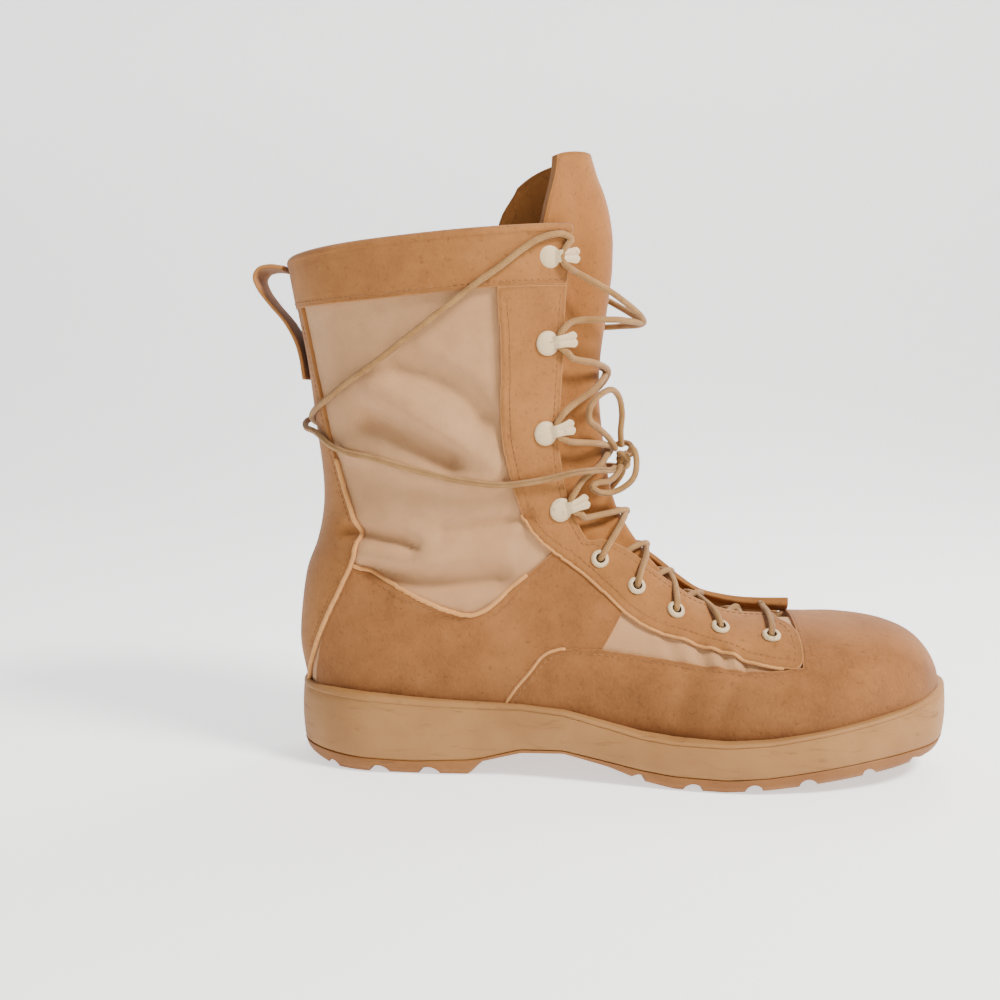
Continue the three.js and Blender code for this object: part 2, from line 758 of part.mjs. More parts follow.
function ring(outer, hole, height) {
  const profile = [
    [hole, 0],
    [outer, 0],
    [outer - height * 0.6, height],
    [hole, height],
    [hole, 0],
  ];
  const lathe = new THREE.LatheGeometry(profile.map(([x, y]) => new THREE.Vector2(x, y)), 8);
  return lathe.rotateX(Math.PI / 2);
}

// Station, turn, and how far each one is pressed into the suede's curve.
const hookPlaces = [[16.36, 0.242, 0], [19.15, 0.278, 0.2], [21.47, 0.266, 0.2], [23.4, 0.269, 0.7]];
const eyeletPlaces = [[6.44, 0.317, 0], [7.36, 0.311, 0], [8.52, 0.329, 0], [9.96, 0.317, 0], [11.93, 0.278, 0.5]];

function hook() {
  const disc = new THREE.CylinderGeometry(hookDisc / 2, hookDisc / 2, hookDiscThickness, 8);
  disc.rotateX(Math.PI / 2).translate(0, 0, hookDiscThickness / 2);
  const outline = new THREE.Shape();
  const half = hookWidth / 2;
  outline.moveTo(0, -half * 0.7);
  outline.lineTo(hookLength * 0.7, -half);
  outline.lineTo(hookLength, -half * 0.7);
  outline.lineTo(hookLength * 0.9, 0);
  outline.lineTo(hookLength, half * 0.7);
  outline.lineTo(hookLength * 0.7, half);
  outline.lineTo(0, half * 0.7);
  const prong = new THREE.ExtrudeGeometry(outline, { depth: hookThickness, bevelEnabled: false });
  prong.translate(0, 0, hookDiscThickness * 0.5);
  return solid(disc).add(solid(prong));
}

for (const [side, name] of [[-1, "outer"], [1, "inner"]]) {
  hookPlaces.forEach(([v, u, pressed], i) => {
    const place = frameAt(v, side * u, fit - pressed);
    addPiece(`hook_${name}_${i + 1}`, hook().transform(place.elements), "paintedMetal");
  });
  eyeletPlaces.forEach(([v, u, pressed], i) => {
    const place = frameAt(v, side * u, 2 * fit - pressed);
    const flange = solid(ring(eyeletOuter / 2, eyeletHole / 2, eyeletHeight));
    addPiece(`eyelet_${name}_${i + 1}`, flange.transform(place.elements), "paintedMetal");
  });
}

// Lace

// A round cord through points, as a smooth tube with flat ends.
function cord(points, sides, steps) {
  const corners = Array.from({ length: sides }, (_, i) => {
    const angle = (2 * Math.PI * i) / sides;
    return new THREE.Vector2(Math.cos(angle), Math.sin(angle)).multiplyScalar(laceDiameter / 2);
  });
  const extrudePath = new THREE.CatmullRomCurve3(points, false, "centripetal");
  return solid(new THREE.ExtrudeGeometry(new THREE.Shape(corners), { extrudePath, steps, bevelEnabled: false }));
}

// Where the lace leaves each pair of eyelets and hooks, from the toe up. low, high: stations
// where a crossing from below ends and the next one starts. turn: how far to the side.
const laceRows = table("low high turn", [
  [6.44, 6.62, 0.235],
  [7.22, 7.5, 0.23],
  [8.36, 8.7, 0.245],
  [9.72, 10.25, 0.235],
  [11.5, 12.4, 0.2],
  [15.7, 16.95, 0.2],
  [18.7, 19.6, 0.22],
  [21.05, 21.9, 0.21],
  [23.13, 23.5, 0.21],
]);
const laceLift = laceDiameter / 2 + 2 * fit; // middle of the lace over the suede
// How far each crossing stands off the tongue, in lace diameters.
const slack = [0, 0, 0, 0, 0.27, 0, 0.4, 5];
const droop = [0, 0, 0, 0, 0, 0.1, 0.2, -0.55]; // stations that its middle moves up

function crossing(i) {
  const [below, above] = [laceRows[i], laceRows[i + 1]];
  const middle = mix(below.high, above.low, 0.5) + droop[i];
  const over = Math.max(tongueOut(middle, 0), 0) + laceLift + slack[i] * laceDiameter;
  const strand = (side) =>
    [0, 0.15, 0.5, 0.85, 1].map((t) => {
      const start = t < 0.5;
      const share = Math.abs(2 * t - 1);
      const v = mix(middle, start ? below.high : above.low, share);
      const u = side * (start ? -below.turn : above.turn) * share;
      return skin(v, u, mix(over, laceLift, share ** 1.5));
    });
  return cord(strand(1), 5, 6).add(cord(strand(-1), 5, 6));
}

const barTurns = [-1, -0.5, 0, 0.5, 1].map((share) => share * laceRows[0].turn);
addPiece("lace_bar", cord(barTurns.map((u) => skin(laceRows[0].low, u, laceLift)), 5, 5), "lace");
for (let i = 0; i + 1 < laceRows.length; i++) {
  addPiece(`lace_cross_${i + 1}`, crossing(i), "lace");
}

// The free lace: each end leaves a top hook, goes once round the ankle and comes forward to
// a bow on the tongue.
const laceRoutes = {
  lace_wrap_outer: [
    [98, -33.5, 247], [93.5, -36.5, 249], [84, -41.5, 246.5], [75.5, -44, 241], [67.5, -46, 234.5],
    [55.5, -47.5, 226], [44.5, -48, 217.5], [32.5, -48, 208.5], [21, -46.5, 200], [8.5, -44, 191],
    [-4.5, -38.5, 183], [-15, -31.5, 176], [-23.5, -22, 171], [-28, -11.5, 167.5], [-29.5, 0, 165],
    [-28, 11.5, 162.5], [-23.5, 19.5, 160], [-14.5, 29, 154], [-6, 34.5, 151], [5, 39, 149],
    [17.5, 42, 146], [29, 43, 143], [43.5, 42.5, 139.5], [55, 41, 137.5], [66, 39, 136.5],
    [77.5, 36.5, 137.5], [89, 33.5, 139.5], [100, 30.5, 142], [111, 22, 142.7], [117.5, 11.5, 143],
    [119.5, 3.5, 143],
  ],
  lace_wrap_inner: [
    [98, 33.5, 247], [93.5, 36.5, 249], [84, 41.5, 246.5], [75.5, 44, 241], [67.5, 46, 234.5],
    [55.5, 47.5, 226], [44.5, 48, 217.5], [32.5, 48, 208.5], [21, 46.5, 200], [8.5, 44, 191],
    [-4.5, 38.5, 183], [-15, 31.5, 176], [-24.5, 22.5, 171], [-30.5, 12, 167.5], [-33.5, 0, 165],
    [-30.5, -12, 162], [-24, -20, 160], [-14.5, -29, 154], [-6, -34.5, 151], [5, -39, 149],
    [17.5, -42, 146], [29, -43, 143], [43.5, -42.5, 139.5], [55, -41, 137.5], [66, -39, 136.5],
    [77.5, -36.5, 137.5], [89, -33.5, 139.5], [100, -30.5, 142], [110.7, -21.2, 142.6], [116.5, -12, 142],
    [118.5, -4.5, 143],
  ],
  lace_loop_1: [
    [121.5, -0.5, 152.8], [121, -2.5, 160], [121.5, -5, 169], [120, -9.5, 176.5], [116.5, -15.5, 180],
    [111.5, -21.5, 178], [106.5, -26, 172], [106, -24.5, 166.5], [110.5, -16.5, 162], [115.5, -9.5, 157],
    [118.8, -4.8, 151.5],
  ],
  lace_loop_2: [
    [125, -4.5, 151], [127, -7, 152], [128.5, -10, 146], [127, -12.5, 138.5], [121.5, -13, 133.5],
    [115.5, -14.5, 131.5], [110, -18.5, 132.5], [107.5, -21, 135], [110, -18.5, 136.5], [115.5, -13, 137],
    [119.5, -9.5, 140.5], [121.2, -7, 144.2],
  ],
  lace_end_1: [[122.5, 4.2, 144.8], [122.5, 8, 140.5], [119.5, 13, 135], [115.5, 18, 130.5], [109.5, 25.5, 127]],
  lace_end_2: [[126, 3.2, 148.5], [127, 8, 151.5], [125, 13, 154], [120, 17, 153.5], [113.5, 21.5, 150], [107, 27, 146]],
};
const laceSteps = { lace_wrap_outer: 27, lace_wrap_inner: 27, lace_loop_1: 9, lace_loop_2: 9 };
for (const [name, route] of Object.entries(laceRoutes)) {
  const points = route.map((place) => new THREE.Vector3(...place));
  addPiece(name, cord(points, 8, laceSteps[name] ?? 4), "lace");
}

const knotPlace = [122.5, -1.5, 147];
const knotRadius = 1.65 * laceDiameter;
const knot = new THREE.SphereGeometry(knotRadius, 8, 6).translate(...knotPlace);
addPiece("lace_knot", solid(knot), "lace");

export default boot;
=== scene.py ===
import bpy
import numpy as np
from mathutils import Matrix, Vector


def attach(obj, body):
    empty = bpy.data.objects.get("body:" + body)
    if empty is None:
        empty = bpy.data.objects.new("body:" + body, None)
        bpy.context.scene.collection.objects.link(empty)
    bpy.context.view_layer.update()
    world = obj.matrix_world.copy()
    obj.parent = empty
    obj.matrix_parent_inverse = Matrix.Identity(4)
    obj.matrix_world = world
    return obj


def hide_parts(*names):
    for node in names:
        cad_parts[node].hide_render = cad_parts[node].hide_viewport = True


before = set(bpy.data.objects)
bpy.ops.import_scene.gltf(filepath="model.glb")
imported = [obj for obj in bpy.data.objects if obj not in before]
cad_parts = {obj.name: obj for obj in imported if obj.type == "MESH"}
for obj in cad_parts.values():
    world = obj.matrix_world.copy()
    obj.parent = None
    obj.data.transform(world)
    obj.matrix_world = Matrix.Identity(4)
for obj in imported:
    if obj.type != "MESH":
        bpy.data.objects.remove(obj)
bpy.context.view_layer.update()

# A right combat boot. Metres. X runs to the toe, Y to the inner side, Z up.
mm = 0.001
boot = {
    "soleLength": 0.314, "heelReach": 0.036, "soleWidth": 0.110, "cupHeight": 0.039,
    "ballWidth": 0.106, "heelWidth": 0.074, "shaftWidth": 0.096,
    "instepHeight": 0.112, "collarHeight": 0.254,
    "hide": 1.6 * mm, "wall": 2.2 * mm, "fit": 0.3 * mm, "lace": 3 * mm,
}


def table(names, rows):
    # named columns of a small table
    return dict(zip(names.split(), np.array(rows, float).T))


soleTable = table("at outer inner rim seam tread seat", [
    [0, 0, 0, 1, 0.23, 0.115, 0.59],
    [0.007, 0.218, 0.218, 1, 0.23, 0.1, 0.59],
    [0.027, 0.41, 0.41, 1, 0.22, 0.056, 0.59],
    [0.064, 0.582, 0.582, 1, 0.205, 0, 0.59],
    [0.115, 0.69, 0.69, 0.974, 0.18, 0, 0.59],
    [0.194, 0.718, 0.718, 0.933, 0.167, 0, 0.58],
    [0.277, 0.709, 0.7, 0.9, 0.195, 0, 0.564],
    [0.296, 0.709, 0.698, 0.897, 0.22, 0.16, 0.559],
    [0.354, 0.727, 0.705, 0.892, 0.346, 0.282, 0.538],
    [0.417, 0.773, 0.725, 0.846, 0.367, 0.308, 0.513],
    [0.481, 0.827, 0.764, 0.723, 0.277, 0.192, 0.474],
    [0.529, 0.878, 0.81, 0.631, 0.21, 0.062, 0.444],
    [0.576, 0.927, 0.86, 0.59, 0.17, 0, 0.42],
    [0.65, 0.982, 0.945, 0.587, 0.162, 0, 0.39],
    [0.713, 0.985, 0.99, 0.631, 0.205, 0.041, 0.387],
    [0.793, 0.924, 1.015, 0.738, 0.295, 0.118, 0.44],
    [0.863, 0.8, 0.964, 0.841, 0.367, 0.185, 0.51],
    [0.917, 0.636, 0.845, 0.923, 0.405, 0.226, 0.565],
    [0.962, 0.418, 0.655, 1.02, 0.42, 0.277, 0.6],
    [0.989, 0.145, 0.418, 1.06, 0.43, 0.318, 0.61],
    [1, -0.127, 0.127, 1.07, 0.436, 0.338, 0.61],
])

# Stations of the upper, as slanting sections: from a low or back point to a high or front one.
stationNames = "low high back top half swing lean widest feather crown base"
toeStations = table("low high top half swing lean widest feather crown base", [
    [0.981, 0.9875, 0.384, 0, 0.135, 0, 0.42, 0.93, 2.3, 2],
    [0.976, 0.982, 0.433, 0.28, 0.13, 0.004, 0.42, 0.93, 2.3, 2],
    [0.962, 0.967, 0.509, 0.44, 0.12, 0.01, 0.4, 0.93, 2.3, 2],
    [0.94, 0.9427, 0.576, 0.6, 0.11, 0.02, 0.38, 0.92, 2.3, 2],
    [0.9045, 0.903, 0.62, 0.735, 0.094, 0.028, 0.36, 0.92, 2.3, 2],
    [0.847, 0.844, 0.6375, 0.86, 0.07, 0.047, 0.34, 0.92, 2.25, 2],
    [0.761, 0.761, 0.646, 0.96, 0.038, 0.066, 0.32, 0.92, 2.1, 2],
    [0.662, 0.675, 0.67, 0.94, 0.01, 0.075, 0.32, 0.92, 2, 2],
])
waistStations = table("low high top half swing lean widest feather crown base", [
    [0.545, 0.618, 0.732, 1.13, -0.02, 0.075, 0.33, 0.92, 2, 2],
    [0.417, 0.583, 0.808, 1.02, -0.038, 0.057, 0.36, 0.9, 2, 2],
    [0.29, 0.557, 0.879, 0.98, -0.028, 0.038, 0.38, 0.87, 2, 2],
    [0.178, 0.5365, 0.946, 0.97, -0.01, 0.028, 0.38, 0.83, 2, 2.2],
    [0.089, 0.521, 1, 0.97, 0, 0.02, 0.39, 0.75, 2, 2.4],
])
heelStations = table("low high back top half lean widest feather crown base", [
    [0.035, 0.51, 0, 0.032, 0.97, 0.02, 0.4, 0.55, 2, 2.5],
    [0.0175, 0.502, 0.009, 0.056, 0.97, 0.02, 0.41, 0, 2, 2.6],
    [0.0108, 0.494, 0.07, 0.088, 0.98, 0.015, 0.42, 0, 2, 2.6],
    [-0.001, 0.486, 0.16, 0.13, 1, 0.01, 0.44, 0, 2, 2.5],
    [0.0096, 0.476, 0.29, 0.204, 1.027, 0.008, 0.46, 0, 2.1, 2.4],
    [0.0287, 0.468, 0.364, 0.282, 1.054, 0.004, 0.47, 0, 2.2, 2.3],
])
shaftStations = table("low high back top half lean widest feather crown base", [
    [0.037, 0.462, 0.433, 0.373, 0.844, 0, 0.48, 0, 2.2, 2.2],
    [0.0366, 0.4586, 0.515, 0.479, 0.875, 0, 0.48, 0, 2.2, 2.2],
    [0.029, 0.4586, 0.615, 0.599, 0.906, 0, 0.48, 0, 2.2, 2.2],
    [0.0175, 0.462, 0.719, 0.725, 0.9375, 0, 0.48, 0, 2.2, 2.2],
    [0.005, 0.468, 0.827, 0.859, 0.969, 0, 0.48, 0, 2.2, 2.2],
    [-0.0105, 0.476, 0.942, 1, 1, 0, 0.48, 0, 2.2, 2.2],
    [-0.019, 0.481, 1.035, 1.155, 1.01, 0, 0.48, 0, 2.2, 2.2],
    [-0.0255, 0.4745, 1.13, 1.31, 1.02, 0, 0.48, 0, 2.2, 2.2],
])
collar = 24  # the collar's edge, in stations from the toe
closed = 14  # the first station that closes behind the heel


def mix(a, b, t):
    return a + (b - a) * t


def along(share):
    return share * boot["soleLength"] - boot["heelReach"]


def soleLevel(column, share):
    return np.interp(share, soleTable["at"], soleTable[column]) * boot["cupHeight"]


def stationRows(rows, width, leg):
    # one row per station: back x and z, top x and z, half width, swing, lean and the shape columns
    seat = soleLevel("seat", 0)
    shift = boot["ballWidth"] / 2
    top = mix(boot["instepHeight"], boot["collarHeight"], rows["top"]) if leg else rows["top"] * boot["instepHeight"]
    back = mix(seat, boot["collarHeight"], rows["back"]) if leg else soleLevel("seat", rows["low"])
    swing = rows["swing"] * shift if not leg else 0 * top
    shape = [rows[name] for name in ("widest", "feather", "crown", "base")]
    places = [along(rows["low"]), back, along(rows["high"]), top, rows["half"] * width / 2]
    return np.stack([*places, swing, rows["lean"] * shift, *shape], 1)


stations = np.concatenate([
    stationRows(toeStations, boot["ballWidth"], False),
    stationRows(waistStations, boot["heelWidth"], False),
    stationRows(heelStations, boot["heelWidth"], True),
    stationRows(shaftStations, boot["shaftWidth"], True),
])


def station(v):
    # cubic through four neighbouring rows: half of (2b + (c-a)t + (2a-5b+4c-d)t2 + (3b-a-3c+d)t3)
    last = len(stations) - 1
    i = np.clip(np.floor(v).astype(int), 0, last - 1)
    t = (v - i)[..., None]
    a, b = stations[np.maximum(i - 1, 0)], stations[i]
    c, d = stations[i + 1], stations[np.minimum(i + 2, last)]
    bend, twist = 2 * a - 5 * b + 4 * c - d, 3 * b - a - 3 * c + d
    return 0.5 * (2 * b + (c - a) * t + bend * t**2 + twist * t**3)


def surface(v, u):
    # The upper's outside. v counts stations from the toe; u is -1 at the sole on the outer side, 0 on
    # the ridge, 1 on the inner side. Each section is two parts of superellipses that meet where the
    # section is widest: y = half * sin(angle) to the power 2/n, rise = cos(angle) to the power 2/n.
    v, u = np.broadcast_arrays(np.asarray(v, float), np.asarray(u, float))
    backX, backZ, topX, topZ, half, swing, lean, widest, feather, crown, base = np.moveaxis(station(v), -1, 0)
    feather, half = np.clip(feather, 0, 0.98), np.maximum(half, 0)
    end = np.pi - np.arcsin(feather ** (base / 2))
    rise = np.cos(np.abs(u) * end)
    side = np.clip(np.sin(np.abs(u) * end), 0, None)
    power = 2 / np.where(rise > 0, crown, base)
    depth = widest / np.abs(np.cos(end)) ** power
    reach = np.abs(rise) ** power
    t = np.where(rise > 0, mix(widest, 1, reach), widest - depth * reach)
    leaned = lean * np.clip((t - widest) / (1 - widest), 0, 1)
    y = swing + leaned + np.sign(u) * half * side**power
    return np.stack([mix(backX, topX, t), y, mix(backZ, topZ, t)], -1)


def unit(vectors):
    return vectors / (np.linalg.norm(vectors, axis=-1, keepdims=True) + 1e-12)


def facing(v, u):
    # outward normal: cross product of the two directions over the surface
    step = 1e-3
    v, u = np.broadcast_arrays(np.asarray(v, float), np.asarray(u, float))
    inside = np.maximum(v, 0.05)
    ahead = surface(inside + step, u) - surface(inside - step, u)
    across = surface(inside, np.minimum(u + step, 1)) - surface(inside, np.maximum(u - step, -1))
    normal = np.cross(across, ahead)
    edge = np.abs(u) == 1
    normal[..., 1] = np.where((v == 0) | (edge & (v >= closed)), 0, normal[..., 1])
    normal[..., 2] = np.where(edge & (v <= closed), 0, normal[..., 2])
    return unit(normal)


# Creases, as soft troughs and ridges along lines drawn from the side. Positive depth goes in.
creases = [
    {"side": -1, "depth": 5, "width": 6.5, "line": [(20, 190), (32, 187), (43, 182), (51, 176), (58, 168)]},
    {"side": -1, "depth": -4, "width": 7, "line": [(8, 180), (23, 173), (34, 165), (47, 156), (61, 148)]},
    {"side": -1, "depth": 6.5, "width": 5, "line": [(3, 166), (14, 163), (24, 158), (34, 153), (43, 148)]},
    {"side": -1, "depth": -2.8, "width": 5, "line": [(-6, 152), (10, 147), (26, 142), (44, 138), (60, 136)]},
    {"side": -1, "depth": 5, "width": 3.6, "line": [(-6, 114), (4, 113), (12, 111), (19, 110), (25, 107)]},
    {"side": -1, "depth": 2.8, "width": 3.4, "line": [(40, 115), (54, 117), (68, 119), (78, 121)]},
    {"side": -1, "depth": -2.5, "width": 4.5, "line": [(2, 104), (22, 101), (44, 102), (68, 106)]},
    {"side": -1, "depth": 5.3, "width": 4.6, "line": [(4, 96), (16, 94), (27, 91.5), (44, 91), (66, 92)]},
    {"side": -1, "depth": -2.2, "width": 4, "line": [(18, 84), (34, 80), (50, 82)]},
    {"side": 0, "depth": 3.1, "width": 3.4, "line": [(97, 127), (106, 122), (115, 120)]},
    {"side": 0, "depth": 1.6, "width": 5, "line": [(146, 34), (152, 48), (160, 62)]},
    {"side": 0, "depth": 1.1, "width": 4, "line": [(166, 36), (172, 48), (180, 60)]},
    {"side": -1, "depth": 0.9, "width": 1.5, "line": [(178, 54), (176, 60)]},
    {"side": -1, "depth": -0.9, "width": 1.6, "line": [(174, 54), (172, 61)]},
    {"side": -1, "depth": 1.1, "width": 1.7, "line": [(170, 54), (167, 62)]},
    {"side": -1, "depth": -0.9, "width": 1.8, "line": [(165, 55), (162, 63)]},
    {"side": -1, "depth": 1.0, "width": 2, "line": [(160, 55), (156, 64)]},
    {"side": -1, "depth": -0.8, "width": 2.4, "line": [(153, 56), (149, 66)]},
    {"side": -1, "depth": 0.8, "width": 2.4, "line": [(146, 57), (141, 68)]},
    {"side": 1, "depth": 4.7, "width": 6, "line": [(-4, 182), (14, 178), (32, 170), (52, 158)]},
    {"side": 1, "depth": -3.4, "width": 6, "line": [(-6, 168), (16, 163), (36, 154), (54, 144)]},
    {"side": 1, "depth": 4.7, "width": 4.6, "line": [(0, 117), (18, 113), (38, 112), (58, 115)]},
    {"side": 1, "depth": 4, "width": 4.6, "line": [(4, 98), (24, 94), (46, 94), (66, 97)]},
    {"side": 1, "depth": -2.5, "width": 5, "line": [(6, 106), (28, 103), (52, 104)]},
]


def creased(points):
    # depth * exp(-(distance to the line / width) squared), added over all creases, on its own side
    total = np.zeros(points.shape[:-1])
    flat = points[..., [0, 2]] / mm
    for crease in creases:
        line = np.array(crease["line"], float)
        nearest = np.full(total.shape, 1e9)
        for a, b in zip(line[:-1], line[1:]):
            t = np.clip(((flat - a) @ (b - a)) / ((b - a) @ (b - a)), 0, 1)[..., None]
            nearest = np.minimum(nearest, np.linalg.norm(flat - a - t * (b - a), axis=-1))
        here = 1 if crease["side"] == 0 else np.clip(crease["side"] * points[..., 1] / (12 * mm), 0, 1)
        total += crease["depth"] * mm * np.exp(-((nearest / crease["width"]) ** 2)) * here
    return total


def wavy(points):
    # slow unevenness of worn cloth and leather: a sum of sines in x, y and z
    x, y, z = np.moveaxis(points, -1, 0)
    waves = np.sin(71 * x + 43 * z + 1.1) * np.sin(57 * z - 23 * x + 90 * y) + 0.6 * np.sin(133 * x - 97 * z + 40 * y + 2)
    return 0.35 * mm * waves


def skin(v, u, out):
    # the surface moved out by a distance, with its creases
    points = surface(v, u)
    worn = wavy(points) - creased(points)
    return points + facing(v, u) * (worn + out)[..., None]


def gridFaces(rows, columns, wrap=False):
    # quads of a grid stored row after row; wrap joins the last column to the first
    i = np.arange(rows - 1)[:, None]
    j = np.arange(columns if wrap else columns - 1)[None, :]
    k = (j + 1) % columns
    corners = [i * columns + j, i * columns + k, (i + 1) * columns + k, (i + 1) * columns + j]
    return np.stack(np.broadcast_arrays(*corners), -1).reshape(-1, 4)


def borderEdges(faces):
    # directed edges that only one face has
    edges = np.stack([faces, np.roll(faces, -1, 1)], -1).reshape(-1, 2)
    size = edges.max() + 1
    forward, backward = edges[:, 0] * size + edges[:, 1], edges[:, 1] * size + edges[:, 0]
    return edges[~np.isin(forward, backward) & (edges[:, 0] != edges[:, 1])]


def thicken(faces, count):
    # upper faces, turned-over lower faces, and a wall along each border edge
    a, b = borderEdges(faces).T
    walls = np.stack([b, a, a + count, b + count], 1)
    return np.concatenate([faces, faces[:, ::-1] + count, walls])


def outward(points, faces):
    # turns all faces over if the signed volume, a sum of triple products, is negative
    a, b, c, d = points[faces[:, 0]], points[faces[:, 1]], points[faces[:, 2]], points[faces[:, 3]]
    volume = np.einsum("ij,ij->", a, np.cross(b, c)) + np.einsum("ij,ij->", a, np.cross(c, d))
    return faces if volume > 0 else faces[:, ::-1]


def fromBorder(points, faces):
    # distance of each point to the nearest border point, in millimetres
    border = points[np.unique(borderEdges(faces))]
    chunks = [np.linalg.norm(part[:, None] - border[None], axis=-1).min(1)
              for part in np.array_split(points, max(1, len(points) // 400))]
    return np.concatenate(chunks) / mm


def newPiece(name, points, faces, finish, uv=None, notes=None, smooth=True):
    # a mesh from arrays, with repeated corners left out and coinciding points merged; it rides on the one body
    mesh = bpy.data.meshes.new(name)
    mesh.vertices.add(len(points))
    mesh.vertices.foreach_set("co", np.ascontiguousarray(points, np.float32).ravel())
    kept = faces != np.roll(faces, 1, axis=1)
    corners, sizes = faces[kept], kept.sum(1)
    mesh.loops.add(len(corners))
    mesh.loops.foreach_set("vertex_index", corners.astype(np.int32))
    mesh.polygons.add(len(faces))
    mesh.polygons.foreach_set("loop_start", (np.cumsum(sizes) - sizes).astype(np.int32))
    mesh.update(calc_edges=True)
    mesh.validate(clean_customdata=False)
    if uv is not None:
        layer = mesh.uv_layers.new(name="surface")
        layer.data.foreach_set("uv", uv[corners].astype(np.float32).ravel())
    for key, values in (notes or {}).items():
        attribute = mesh.attributes.new(key, "FLOAT", "POINT")
        attribute.data.foreach_set("value", np.asarray(values, np.float32))
    weld(mesh)
    mesh.polygons.foreach_set("use_smooth", np.full(len(mesh.polygons), smooth))
    made = bpy.data.objects.new(name, mesh)
    bpy.context.scene.collection.objects.link(made)
    for material in finish if isinstance(finish, list) else [finish]:
        mesh.materials.append(material)
    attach(made, "root")
    return made


def weld(mesh):
    import bmesh
    work = bmesh.new()
    work.from_mesh(mesh)
    bmesh.ops.remove_doubles(work, verts=work.verts, dist=2e-6)
    work.to_mesh(mesh)
    work.free()


def roundEdges(piece, width, segments=2, angle=50):
    bevel = piece.modifiers.new("roundedEdges", "BEVEL")
    bevel.width = width
    bevel.segments = segments
    bevel.limit_method = "ANGLE"
    bevel.angle_limit = np.radians(angle)
    bevel.harden_normals = False


# Paths

def resample(places, count, over):
    # even steps along the path that over() gives for the places
    route = over(places)
    length = np.concatenate([[0], np.cumsum(np.linalg.norm(np.diff(route, axis=0), axis=1))])
    at = np.linspace(0, length[-1], count)
    return np.stack([np.interp(at, length, column) for column in places.T], 1)


def onSurface(places):
    return surface(places[:, 0], places[:, 1])


def smoothed(places, count, soft=9):
    # evenly spaced places, each averaged with its neighbours, both ends kept
    fine = resample(np.asarray(places, float), count, onSurface)
    pad = np.concatenate([2 * fine[0] - fine[soft:0:-1], fine, 2 * fine[-1] - fine[-2:-soft - 2:-1]])
    kernel = np.hanning(2 * soft + 3)[1:-1]
    kernel /= kernel.sum()
    return np.stack([np.convolve(column, kernel, "valid") for column in pad.T], 1)


def coons(low, high, left, right):
    # Coons patch: the two rulings between opposite borders added, less the bilinear one of the corners
    s = np.linspace(0, 1, len(low))[None, :, None]
    t = np.linspace(0, 1, len(left))[:, None, None]
    ruled = (1 - t) * low[None] + t * high[None] + (1 - s) * left[:, None] + s * right[:, None]
    corners = (1 - s) * (1 - t) * low[0] + s * (1 - t) * low[-1] + (1 - s) * t * high[0] + s * t * high[-1]
    return ruled - corners


def overSurface(grid, side, out):
    return skin(grid[..., 0], side * grid[..., 1], np.broadcast_to(out, grid.shape[:-1]))


def gridUv(points):
    # lengths along the rows and columns of a grid, in tenths of a metre
    right = np.linalg.norm(np.diff(points, axis=1), axis=-1)
    down = np.linalg.norm(np.diff(points, axis=0), axis=-1)
    u = np.concatenate([np.zeros((len(points), 1)), np.cumsum(right, 1)], 1)
    v = np.concatenate([np.zeros((1, points.shape[1])), np.cumsum(down, 0)], 0)
    return np.stack([u - u.mean(1, keepdims=True), v - v.mean(0, keepdims=True)], -1) / 0.1


def panel(name, grid, side, finish, slot, top=0.0, lift=None, thick=None, nodes=()):
    # a leather panel over the surface: both skins of a grid of places, with walls at its borders
    thick = boot["hide"] + 0.5 * mm if thick is None else thick
    raised = top if lift is None else top + lift
    upper = overSurface(grid, side, raised)
    lower = overSurface(grid, side, raised - thick)
    rows, columns = grid.shape[:2]
    faces = gridFaces(rows, columns)
    points = np.concatenate([upper.reshape(-1, 3), lower.reshape(-1, 3)])
    body = outward(points, thicken(faces, rows * columns))
    uv = np.tile(gridUv(upper).reshape(-1, 2), (2, 1))
    edge = np.tile(fromBorder(upper.reshape(-1, 3), faces), 2)
    made = newPiece(name, points, body, finish, uv, {"edge": edge})
    roundEdges(made, 0.55 * mm)
    if nodes:
        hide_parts(*nodes)
    return made


def sideways(places, side, distance):
    # moves places square to their path over the surface: solves Pv dv + Pu du = across * distance
    v, u = places[:, 0], side * places[:, 1]
    step = 1e-3
    alongV = (surface(v + step, u) - surface(v - step, u)) / (2 * step)
    alongU = (surface(v, u + step) - surface(v, u - step)) / (2 * step)
    tangent = unit(np.gradient(surface(v, u), axis=0))
    across = np.cross(facing(v, u), tangent) * distance
    aa, ab, bb = (alongV * alongV).sum(1), (alongV * alongU).sum(1), (alongU * alongU).sum(1)
    ac, bc = (alongV * across).sum(1), (alongU * across).sum(1)
    det = aa * bb - ab * ab + 1e-18
    dv, du = (ac * bb - bc * ab) / det, (bc * aa - ac * ab) / det
    return np.stack([v + dv, side * (u + du)], 1)


def frames(route, up):
    # tangent, side and up directions along a path, up as close to the one given as it can be
    tangent = unit(np.gradient(route, axis=0))
    side = unit(np.cross(up, tangent))
    return tangent, side, np.cross(tangent, side)


capsuleSides, capsuleRings = 6, 5


def capsules(centres, tangent, side, up, length, width, height):
    # one small rounded body for each centre: an ellipsoid stretched along the tangent
    ring = np.linspace(0, 2 * np.pi, capsuleSides, endpoint=False)
    rise = np.linspace(0, np.pi, capsuleRings)
    x = -np.cos(rise)[:, None] * np.ones(capsuleSides)
    r = np.sin(rise)[:, None] ** 0.5
    local = np.stack([x * length / 2, r * np.cos(ring) * width / 2, r * np.sin(ring) * height / 2], -1).reshape(-1, 3)
    axes = np.stack([tangent, side, up], 1)
    points = centres[:, None] + np.einsum("pk,nkd->npd", local, axes)
    one = gridFaces(capsuleRings, capsuleSides, True)[:, ::-1]
    faces = (one[None] + (np.arange(len(centres)) * len(local))[:, None, None]).reshape(-1, 4)
    return points.reshape(-1, 3), faces


